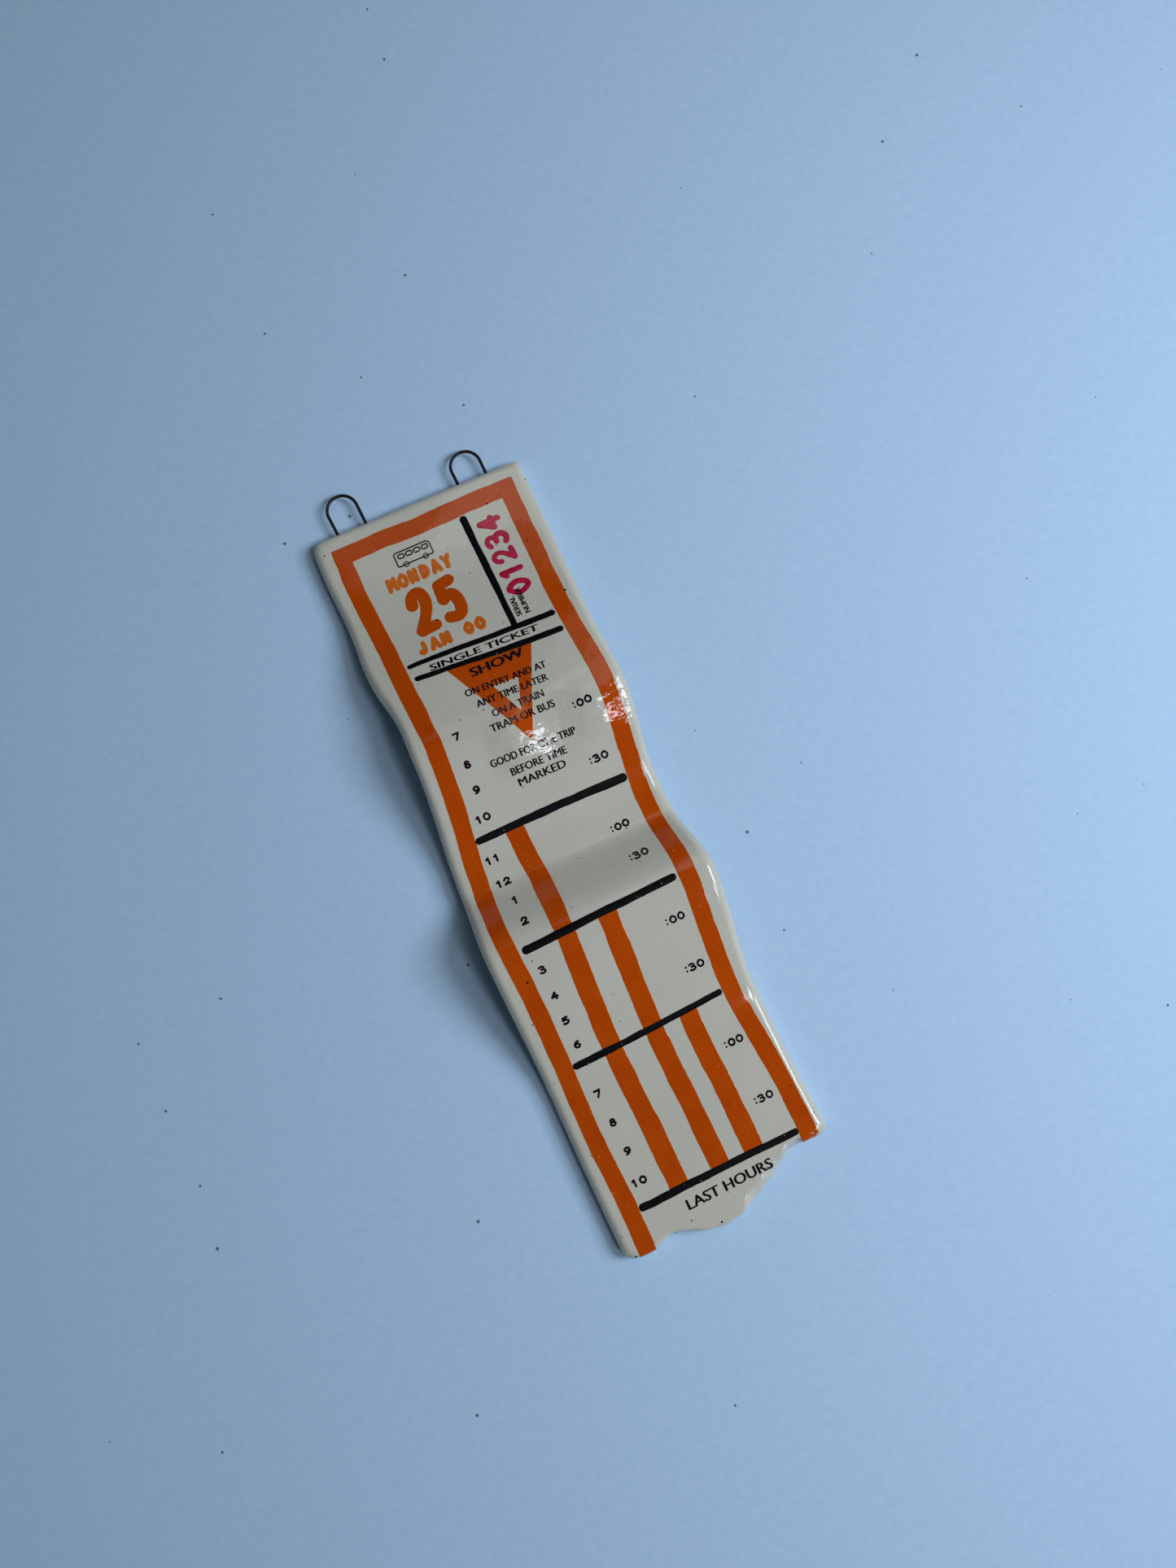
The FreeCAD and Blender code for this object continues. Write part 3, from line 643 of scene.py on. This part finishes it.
def kiln_wire():
    """High-temperature nickel-chrome wire after firing: a dark, dry oxide skin."""
    material, tree = finish_named("oxidised_kiln_wire")
    place = add(tree, "TexCoord", "Object")
    scale_marks = add(tree, "TexNoise", Vector=place, Scale=1 / (0.7 * MM), Detail=4.0)
    skin = add(tree, "Mix", 2, data_type="RGBA", _0=scale_marks, _6=colour("#16161A"),
               _7=colour("#3C3A3C"))
    rough = add(tree, "MapRange", Value=scale_marks, From_Min=0.3, From_Max=0.7, To_Min=0.38,
                To_Max=0.6)
    bump = add(tree, "Bump", Strength=0.5, Distance=0.02 * MM, Height=scale_marks)
    shader = add(tree, "BsdfPrincipled", Base_Color=skin, Metallic=0.7, Roughness=rough,
                 Normal=bump)
    add(tree, "OutputMaterial", Surface=shader)
    return material


def pale_paper():
    """A large sheet of pale blue-grey card: matt, faintly mottled, with a few dust specks."""
    material, tree = finish_named("pale_card")
    place = add(tree, "TexCoord", "Object")
    mottle = add(tree, "TexNoise", Vector=place, Scale=1 / (2.2 * MM), Detail=5.0, Roughness=0.7)
    share = add(tree, "MapRange", Value=mottle, From_Min=0.3, From_Max=0.7)
    sheet = add(tree, "Mix", 2, data_type="RGBA", _0=share, _6=colour("#B4D5F3"),
                _7=colour("#BEDDF8"))
    dust = speckle(tree, place, 19.0, 0.42, 0.22)
    sheet = add(tree, "Mix", 2, data_type="RGBA", _0=dust, _6=sheet, _7=colour("#6A7480"))
    shader = add(tree, "BsdfPrincipled", Base_Color=sheet, Roughness=0.75, IOR=1.4)
    add(tree, "OutputMaterial", Surface=shader)
    return material


# ---- lettering ----

# Brushed characters as a painter makes them, in a box one unit high: two points give a
# straight stroke and more give a smooth one.
BRUSHED = {
    "A": [[(0.0, 0.0), (0.34, 1.0)], [(0.34, 1.0), (0.7, 0.0)], [(0.13, 0.34), (0.57, 0.34)]],
    "D": [[(0.05, 0.0), (0.05, 1.0)],
          [(0.05, 1.0), (0.38, 0.93), (0.6, 0.52), (0.36, 0.07), (0.05, 0.0)]],
    "J": [[(0.42, 1.0), (0.44, 0.4), (0.3, 0.03), (0.06, 0.08), (0.0, 0.28)]],
    "M": [[(0.0, 0.0), (0.08, 1.0)], [(0.08, 1.0), (0.38, 0.4)], [(0.38, 0.4), (0.7, 1.0)],
          [(0.7, 1.0), (0.78, 0.0)]],
    "N": [[(0.0, 0.0), (0.04, 1.0)], [(0.04, 1.0), (0.56, 0.02)], [(0.56, 0.02), (0.6, 1.0)]],
    "O": [[(0.33, 1.0), (0.04, 0.72), (0.05, 0.25), (0.35, 0.0), (0.64, 0.28), (0.62, 0.76),
           (0.33, 1.0)]],
    "Y": [[(0.0, 1.0), (0.34, 0.5)], [(0.68, 1.0), (0.34, 0.5)], [(0.34, 0.5), (0.3, 0.0)]],
    "0": [[(0.33, 1.0), (0.05, 0.7), (0.06, 0.27), (0.33, 0.0), (0.6, 0.3), (0.58, 0.74),
           (0.33, 1.0)]],
    "1": [[(0.12, 0.8), (0.34, 1.0)], [(0.34, 1.0), (0.32, 0.0)]],
    "2": [[(0.02, 0.72), (0.14, 0.95), (0.38, 1.0), (0.56, 0.76), (0.42, 0.44), (0.0, 0.02)],
          [(0.0, 0.02), (0.6, 0.04)]],
    "3": [[(0.03, 0.9), (0.32, 1.0), (0.54, 0.78), (0.42, 0.57), (0.22, 0.54)],
          [(0.22, 0.54), (0.48, 0.5), (0.6, 0.26), (0.36, 0.0), (0.02, 0.1)]],
    "4": [[(0.42, 1.0), (0.0, 0.34)], [(0.0, 0.34), (0.62, 0.36)], [(0.42, 1.0), (0.44, 0.0)]],
    "5": [[(0.54, 1.0), (0.08, 0.97)], [(0.08, 0.97), (0.04, 0.56)],
          [(0.04, 0.56), (0.36, 0.64), (0.58, 0.36), (0.4, 0.04), (0.0, 0.08)]],
    "6": [[(0.52, 0.96), (0.2, 0.78), (0.04, 0.36), (0.16, 0.04), (0.42, 0.02), (0.58, 0.28),
           (0.44, 0.54), (0.2, 0.52), (0.06, 0.36)]],
    "7": [[(0.0, 1.0), (0.58, 1.0)], [(0.58, 1.0), (0.2, 0.0)]],
    "8": [[(0.32, 0.54), (0.1, 0.76), (0.32, 1.0), (0.54, 0.76), (0.32, 0.54)],
          [(0.32, 0.54), (0.04, 0.28), (0.32, 0.0), (0.6, 0.28), (0.32, 0.54)]],
    "9": [[(0.56, 0.64), (0.42, 0.48), (0.18, 0.46), (0.04, 0.72), (0.2, 0.98), (0.46, 0.96),
           (0.58, 0.64), (0.42, 0.22), (0.1, 0.04)]],
    ":": [[(0.52, 0.82), (0.53, 0.83)], [(0.52, 0.18), (0.53, 0.19)]],
}


# How high each finish stands off the glaze at its crown.
BAND_LIFT, TOP_BAND_LIFT, POINTER_LIFT, LETTER_LIFT = 0.022, 0.030, 0.024, 0.020
BEAD_LIFT, DIVIDER_LIFT = 0.20, 0.17
THIN_LINE_LIFT, PRINT_LIFT = 0.034, 0.038


def placed(points, across, down, angle):
    """Points of upright lettering, turned by an angle in degrees and put on the ticket."""
    p = np.asarray(points, float)
    c, s = math.cos(math.radians(angle)), math.sin(math.radians(angle))
    return np.stack([across + p[..., 0] * c - p[..., 1] * s,
                     down - p[..., 0] * s - p[..., 1] * c], -1)


def brushed_word(word, start, down, pitch, height, wide, brush, angle=0.0, seed=50,
                 ragged=0.08, lift=LETTER_LIFT):
    """Strokes of each character, which starts at its own pitch along the word.

    Each letter fills a box of the height, less the brush; its strokes overlap at the joints.
    """
    strokes = []
    for place, letter in enumerate(word):
        for number, points in enumerate(BRUSHED.get(letter, [])):
            shape = np.asarray(points) * (wide, height - brush)
            shape = shape + (place * pitch + brush / 2, brush / 2)
            path = placed(shape, start, down, angle)
            if len(path) == 2:
                path = np.linspace(path[0], path[1], 12)
            else:
                path = spline(path, 0.2)
            before = (path[0] - path[1]) / np.hypot(*(path[0] - path[1]))
            after = (path[-1] - path[-2]) / np.hypot(*(path[-1] - path[-2]))
            half = brush / 2
            path = np.vstack([path[0] + before * half * 0.9, path,
                              path[-1] + after * half * 0.9])
            path = resample(path, 0.25, half)
            strokes.append(stroke(path, half, lift + 0.005 * number,
                                  seed=seed + 7 * place + number, ragged=ragged * brush,
                                  across_points=8))
    return strokes


def corner_places(mesh):
    """A mesh's points, as rows of three."""
    points = np.zeros(len(mesh.vertices) * 3)
    mesh.vertices.foreach_get("co", points)
    return points.reshape(-1, 3)


def printed(name, items, material):
    """Decal lettering: built-in font outlines made a mesh, fitted to a box, laid on the face.

    An item is its words, the place of its lower left corner across and down, its cap height,
    its width, its turn in degrees and its weight.  Each is struck three times, a weight
    apart, to make it bold.
    """
    whole = bmesh.new()
    for words, across, down, height, width, angle, weight in items:
        letters = bpy.data.curves.new(name + "_letters", "FONT")
        letters.body = words
        letters.extrude = 0.01
        letters.resolution_u = 3
        holder = bpy.data.objects.new(name + "_letters", letters)
        bpy.context.scene.collection.objects.link(holder)
        flat = bpy.data.meshes.new_from_object(holder.evaluated_get(
            bpy.context.evaluated_depsgraph_get()))
        points = corner_places(flat)
        low, high = points[:, :2].min(0), points[:, :2].max(0)
        grow = height / (high[1] - low[1])
        shape = (points[:, :2] - low) * (width / (high[0] - low[0]), grow)
        thick = points[:, 2] > 0
        for strike in (-1, 0, 1):
            moved = shape + (strike * weight, strike * strike * weight * 0.4)
            points[:, :2] = placed(moved, across, down, angle)
            points[:, 2] = np.where(thick, PRINT_LIFT + 0.002 * strike, -0.05)
            flat.vertices.foreach_set("co", points.ravel())
            whole.from_mesh(flat)
        bpy.data.objects.remove(holder)
        bpy.data.curves.remove(letters)
        bpy.data.meshes.remove(flat)
    bmesh.ops.triangulate(whole, faces=whole.faces)
    for _ in range(3):
        long_edges = [edge for edge in whole.edges if edge.calc_length() > 0.7]
        bmesh.ops.subdivide_edges(whole, edges=long_edges, cuts=1)
        bmesh.ops.triangulate(whole, faces=whole.faces)
    mesh = bpy.data.meshes.new(name)
    whole.to_mesh(mesh)
    whole.free()
    points = corner_places(mesh)
    laid = on_face(points[:, 0], points[:, 1], points[:, 2])
    mesh.vertices.foreach_set("co", laid.ravel())
    close_seams(mesh, 1e-7)
    mount(name, mesh, material)


# ---- the ticket ----

RIM = make_rim()
CLAY = glazed_clay()
ORANGE = brushed_orange("brushed_orange_underglaze", "#B64302", "#C85206")
LETTER_ORANGE = brushed_orange("thin_orange_underglaze", "#CC5E10", "#DA7626")
BLACK = black_line_glaze()
# Fired ceramic decal: thin purple-black print, a little uneven in its cover.
DECAL = thin_ink("fired_decal_print", 0.6, 2.0, 0.75, "#14080E", "#2C1820")
# Crimson underglaze drawn with a fine brush: deeper and lighter in soft patches.
CRIMSON = thin_ink("brushed_crimson_underglaze", 1.6, 3.0, 0.7, "#A80C34", "#C8244C")
WIRE = kiln_wire()

make_slab(CLAY)


def y_down(y):
    """Distance down of a height on the drawing, whose middle is the frame's origin."""
    return TOP_Y - y


def wander_path(centre, wander, top, end):
    """A band's or a stripe's middle, by a spline through its wander between two places."""
    downs, moves = np.array(wander).T
    kept = [d for d in downs if top + 1 < d < end - 1]
    points = [(centre + np.interp(d, downs, moves), d) for d in [top] + kept + [end]]
    return resample(spline(points, 0.2), 0.5, 0.8)


BAND_WIDTH = 4.3
BAND_MIDDLE = HALF - 3.6 - BAND_WIDTH / 2
BAND_TOP = 3.4
TOP_BAND_WIDTH = 4.5
left_end = LENGTH - TORN_END[0][1] + 0.25
right_end = LENGTH - TORN_END[-1][1] + 0.35
for side, centre, wander, end in (("left", -BAND_MIDDLE, LEFT_WANDER, left_end),
                                  ("right", BAND_MIDDLE, RIGHT_WANDER, right_end)):
    path = wander_path(centre, wander, BAND_TOP, end)
    band = stroke(path, BAND_WIDTH / 2, BAND_LIFT, seed=11 + len(side), ragged=0.15,
                  ends=(False, False))
    build_strokes("brushed_band_" + side, [band], ORANGE,
                  ["border_band_" + side])
top_line = BAND_TOP + TOP_BAND_WIDTH / 2
top_path = spline([(-BAND_MIDDLE - 2.1, top_line + 0.1), (-12, top_line - 0.15),
                   (0, top_line + 0.2), (13, top_line - 0.2),
                   (BAND_MIDDLE + 2.1, top_line - 0.1)], 0.2)
band = stroke(resample(top_path, 0.5, 0.8), TOP_BAND_WIDTH / 2, TOP_BAND_LIFT, seed=13,
              ragged=0.14, ends=(False, False))
build_strokes("brushed_band_top", [band], ORANGE, ["border_band_top"])

# Black lines: both ends' centres (across, down) and the line's width at each.
LINES = {
    "title_line_upper": ((-17.8, 39.3), (18.9, 41.1), 1.1, 1.7),
    "title_line_lower": ((-17.2, 43.0), (19.1, 45.8), 1.2, 1.6),
    "hour_line_1": ((-19.4, 84.5), (18.4, 84.5), 1.7, 2.1),
    "hour_line_2": ((-19.1, 112.8), (18.6, 111.2), 2.0, 1.8),
    "hour_line_3": ((-19.6, 142.2), (18.2, 140.2), 1.7, 1.5),
    "hour_line_4": ((-18.6, 178.0), (21.1, 177.0), 1.9, 1.6),
    "serial_divider": ((8.9, 8.9), (9.5, 40.2), 1.8, 1.5),
}
for number, (name, (first, last, first_width, last_width)) in enumerate(LINES.items()):
    first, last = np.array(first), np.array(last)
    along = (last - first) / np.hypot(*(last - first))
    middle = (first + last) / 2 + 0.25 * math.sin(2 * number) * np.array([-along[1], along[0]])
    path = spline([first - along * first_width / 2, middle, last + along * last_width / 2], 0.2)
    path = resample(path, 0.4, 1.0)
    share = np.linspace(0, 1, len(path))
    half = (first_width + (last_width - first_width) * share) / 2
    bead = stroke(path, half, DIVIDER_LIFT if name == "serial_divider" else BEAD_LIFT,
                  seed=30 + 2 * number, ragged=0.12, dome=0.7)
    build_strokes("trailed_" + name, [bead], BLACK, [name])

# Three stripes start at their own hour line and stop at the last one.
STRIPE_MIDDLES = (-9.8, 0.9, 9.7)
STRIPE_HALF_WIDTH = 2.4
for number, centre in enumerate(STRIPE_MIDDLES, start=1):
    first, last, _, _ = LINES["hour_line_%d" % number]
    start = np.interp(centre, (first[0], last[0]), (first[1], last[1]))
    first, last, _, _ = LINES["hour_line_4"]
    end = np.interp(centre, (first[0], last[0]), (first[1], last[1]))
    stripe = stroke(wander_path(centre, STRIPE_WANDER, start, end), STRIPE_HALF_WIDTH,
                    BAND_LIFT, seed=60 + number, ragged=0.15, ends=(False, False))
    build_strokes("brushed_stripe_%d" % number, [stripe], ORANGE,
                  ["stripe_%d" % number])

# The pointer is a stroke round a triangle, between its outside and its window.
POINTER_OUTSIDE = [(-10.1, 43.9), (11.7, 45.2), (2.1, 68.6)]
POINTER_WINDOW = [(-1.3, 52.6), (5.0, 52.9), (2.4, 60.9)]


def closed_run(corners, per_side):
    """Evenly spaced points along a closed figure's sides, the same number on each."""
    sides = [np.linspace(a, b, per_side, endpoint=False)
             for a, b in zip(corners, corners[1:] + corners[:1])]
    return np.concatenate(sides)


def make_pointer():
    """Triangle with a window: half an ellipse carried round between two closed runs."""
    outside = blur_loop(closed_run(POINTER_OUTSIDE, 60), 0.25)
    window = blur_loop(closed_run(POINTER_WINDOW, 60), 0.25)
    turn = np.linspace(0, 2 * np.pi, 32, endpoint=False)
    u, v = np.cos(turn)[None, :, None], np.sin(turn)
    place = (outside + window)[:, None] / 2 + u * (outside - window)[:, None] / 2
    height = np.where(v > 0, POINTER_LIFT * np.abs(v) ** 0.35,
                      -SINK * np.abs(v) ** 0.4)[None]
    points = on_face(place[..., 0], place[..., 1], height + 0 * place[..., 0])
    run = np.arange(len(outside))[:, None] / 20
    uv = np.stack([(u[..., 0] + 1) / 2 + 0 * run, run + 0 * u[..., 0]], -1)
    faces = grid_faces(len(outside), len(turn), wrap_rows=True, wrap_columns=True)
    build("brushed_pointer", points, faces, ORANGE, uv=uv,
          replaces=["pointer_triangle"])


make_pointer()

build_strokes("weekday_brushed", brushed_word("MONDAY", -15.3, y_down(69.9), 2.95, 4.1, 2.4,
                                              1.25, 1.0, 70),
              LETTER_ORANGE)
build_strokes("day_number_brushed", brushed_word("25", -13.0, y_down(55.7), 7.5, 13.4, 6.2,
                                                 3.1, 0.0, 90, 0.04), ORANGE)
build_strokes("month_brushed", brushed_word("JAN 00", -14.3, y_down(51.2), 3.0, 3.9, 2.5, 1.25,
                                            1.0, 110), LETTER_ORANGE)
build_strokes("serial_brushed", brushed_word("01234", 17.7, y_down(56.2), 4.65, 6.5, 4.6, 1.45,
                                             90.0, 140), CRIMSON)

HOURS = [("7", -14.1, 28.9), ("8", -14.5, 22), ("9", -14.9, 15.85), ("10", -16.35, 9.4),
         ("11", -18.25, -0.4), ("12", -18.1, -6.5), ("1", -17.1, -11.6), ("2", -16.85, -17),
         ("3", -17.6, -29), ("4", -17.5, -35.6), ("5", -17.5, -41.9), ("6", -17.4, -48.15),
         ("7", -17.6, -60.75), ("8", -17.15, -68.15), ("9", -16.65, -75.5),
         ("10", -17.1, -82.9)]
MINUTES = [(":00", 16.25, 24.65), (":30", 14.75, 11.4), (":00", 12.9, -5.4),
           (":30", 13.85, -13.65), (":00", 15.15, -30.85), (":30", 15.1, -42.85),
           (":00", 16.5, -62.9), (":30", 17.5, -77.5)]
CAP = 2.05                # height of the hour and minute figures
DIGIT_PITCH = 2.05
hour_strokes, minute_strokes = [], []
for number, (text, x, y) in enumerate(HOURS):
    hour_strokes += brushed_word(text, x - DIGIT_PITCH * len(text) / 2 + 0.1,
                                 y_down(y) + CAP / 2, DIGIT_PITCH, CAP, 2.3, 0.56, 1.0,
                                 200 + number, 0.05, THIN_LINE_LIFT)
for number, (text, x, y) in enumerate(MINUTES):
    minute_strokes += brushed_word(text, x - 3.4, y_down(y) + CAP / 2, DIGIT_PITCH, CAP, 2.3,
                                   0.54, 2.0, 230 + number, 0.05, THIN_LINE_LIFT)
build_strokes("decal_hours", hour_strokes, DECAL)
build_strokes("decal_minutes", minute_strokes, DECAL)

# Printed words: text, lower left corner, cap height, width, turn and weight.
LIGHT, MEDIUM, HEAVY = 0.085, 0.125, 0.2
WORDS = [
    ("SINGLE TICKET", -13.4, y_down(46.7), 1.65, 27.8, -2.4, MEDIUM),
    ("SHOW", -5.0, y_down(41.0), 2.3, 13.5, -0.5, HEAVY),
    ("ON ENTRY AND AT", -8.2, y_down(36.9), 1.8, 20.4, -3.0, LIGHT),
    ("ANY TIME LATER", -6.7, y_down(33.3), 1.8, 18.0, -2.0, LIGHT),
    ("ON A TRAIN", -4.2, y_down(29.6), 1.8, 13.0, -1.0, LIGHT),
    ("TRAM OR BUS", -6.0, y_down(26.4), 1.8, 16.2, -1.0, LIGHT),
    ("GOOD FOR ONE TRIP", -9.4, y_down(18.9), 1.8, 21.6, -1.0, LIGHT),
    ("BEFORE TIME", -5.7, y_down(15.4), 1.8, 14.1, -0.5, LIGHT),
    ("MARKED", -5.0, y_down(12.5), 1.8, 12.0, 0.0, LIGHT),
    ("LAST HOURS", -8.9, y_down(-93.6), 2.4, 22.0, 2.0, MEDIUM),
    ("SERIAL", 12.3, y_down(51.0), 1.3, 5.6, 90.0, LIGHT),
    ("NUMBER", 14.5, y_down(51.0), 1.3, 7.2, 90.0, LIGHT),
]
printed("decal_words", WORDS, DECAL)

# Iron specks that melted through the glaze: across, down, radius.
SPECKS = [(21.3, 20.5, 0.30), (24.3, 36.8, 0.34), (-26.2, 3.6, 0.22), (12.6, 6.1, 0.16),
          (4.9, 22.4, 0.17), (2.2, 14.0, 0.13), (-24.6, 187.3, 0.24), (-9.5, 185.2, 0.2),
          (-3.2, 188.4, 0.26), (-14.0, 186.4, 0.15), (7.4, 161.0, 0.14), (-5.5, 108.0, 0.13)]
specks = [stroke(resample(np.array([(x - r, d + 0.4 * r), (x + r, d - 0.3 * r)]), 0.1, r),
                 r * 0.8, 0.05, seed=300 + number, ragged=0.2 * r, across_points=6, dome=0.6)
          for number, (x, d, r) in enumerate(SPECKS)]
build_strokes("iron_specks", specks, DECAL)


def outline_strokes(corners):
    """A thin straight stroke along each side of a closed figure."""
    return [stroke(resample(np.array(pair), 0.3, 0.15), 0.19, THIN_LINE_LIFT, ragged=0.02,
                   across_points=6) for pair in zip(corners, corners[1:] + corners[:1])]


def make_bus_mark():
    """A small side view of a bus in thin decal lines: body, windows and two wheels."""
    left, right, low, high = -10.6, -1.2, 75.6, 79.2
    turn = np.linspace(0, 2 * np.pi, 13)[:-1]
    body = [(left, y_down(low)), (right, y_down(low)), (right, y_down(high - 0.6)),
            (right - 0.6, y_down(high)), (left + 0.3, y_down(high)), (left, y_down(high - 0.3))]
    strokes = outline_strokes(body)
    for number in range(4):
        x = left + 0.9 + 2.1 * number
        strokes += outline_strokes([(x, y_down(high - 1.7)), (x + 1.5, y_down(high - 1.7)),
                                    (x + 1.5, y_down(high - 0.7)), (x, y_down(high - 0.7))])
    for x in (left + 2.1, right - 2.1):
        strokes += outline_strokes([(x + 0.65 * math.cos(t), y_down(low + 0.65 * math.sin(t)))
                                    for t in turn])
    build_strokes("decal_bus", strokes, DECAL)


make_bus_mark()

for name in ("hanging_loop_left", "hanging_loop_right"):
    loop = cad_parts[name]
    loop.data.materials.clear()
    loop.data.materials.append(WIRE)


# ---- stage, light and camera ----

def make_stage():
    """A flat square of pale card under the ticket."""
    mesh = bpy.data.meshes.new("card_sheet")
    reach = 1.6
    mesh.from_pydata([(-reach, -reach, 0), (reach, -reach, 0), (reach, reach, 0),
                      (-reach, reach, 0)], [], [(0, 1, 2, 3)])
    mesh.materials.append(pale_paper())
    sheet = bpy.data.objects.new("card_sheet", mesh)
    bpy.context.scene.collection.objects.link(sheet)


def area_light(name, toward, distance, size_x, size_y, watts, tint):
    """A rectangular light, seen from the ticket in a direction, at a distance in metres."""
    lamp = bpy.data.lights.new(name, "AREA")
    lamp.shape = "RECTANGLE"
    lamp.size, lamp.size_y = size_x, size_y
    lamp.energy = watts
    lamp.color = colour(tint)[:3]
    holder = bpy.data.objects.new(name, lamp)
    way = Vector(toward).normalized()
    holder.location = way * distance
    holder.rotation_euler = way.to_track_quat("Z", "Y").to_euler()
    bpy.context.scene.collection.objects.link(holder)


make_stage()
# The window models the waves, the roof light glints on both crests, and the two ceiling
# lights lie over each other so that their haze on the glaze has a softer edge.
area_light("side_window", (0.66, -0.21, 0.70), 0.66, 0.24, 0.30, 2.85, "#EDF3FF")
area_light("roof_light", (0.29, -0.45, 0.84), 0.85, 0.16, 0.17, 1.15, "#F2F6FF")
area_light("ceiling_glow", (0.26, 0.37, 0.89), 1.1, 0.46, 0.40, 0.38, "#F6F2EA")
area_light("ceiling_haze", (0.32, 0.42, 0.85), 1.2, 0.85, 0.72, 0.6, "#F6F2EA")

world = bpy.data.worlds.new("room")
bpy.context.scene.world = world
world.use_nodes = True
backdrop = world.node_tree.nodes["Background"]
backdrop.inputs["Color"].default_value = colour("#DCE6F5")
# A pale wall stands all round the room; the air above it stays dim.
skyward = add(world.node_tree, "TexCoord", "Generated")
height = add(world.node_tree, "SeparateXYZ", 2, Vector=skyward)
glow = add(world.node_tree, "MapRange", interpolation_type="SMOOTHSTEP", Value=height,
           From_Min=0.16, From_Max=0.34, To_Min=0.30, To_Max=0.02)
world.node_tree.links.new(glow, backdrop.inputs["Strength"])

# The camera looks nearly straight down, turned about 24 degrees.
CAMERA_PLACE = (-0.0075, -0.02446, 0.28808)
CAMERA_RIGHT, CAMERA_AHEAD = (0.9129, -0.4080, 0.0115), (0.0619, 0.1105, -0.9919)
camera_data = bpy.data.cameras.new("camera")
camera_data.lens = 27.05
camera_data.sensor_width = 36.0
camera_data.clip_start = 0.01
camera = bpy.data.objects.new("camera", camera_data)
right = Vector(CAMERA_RIGHT).normalized()
ahead = Vector(CAMERA_AHEAD).normalized()
up = right.cross(ahead).normalized()
camera.matrix_world = Matrix([
    (right[i], up[i], -ahead[i], CAMERA_PLACE[i]) for i in range(3)] + [(0, 0, 0, 1)])
bpy.context.scene.collection.objects.link(camera)
bpy.context.scene.camera = camera
bpy.context.scene.view_settings.view_transform = "Standard"
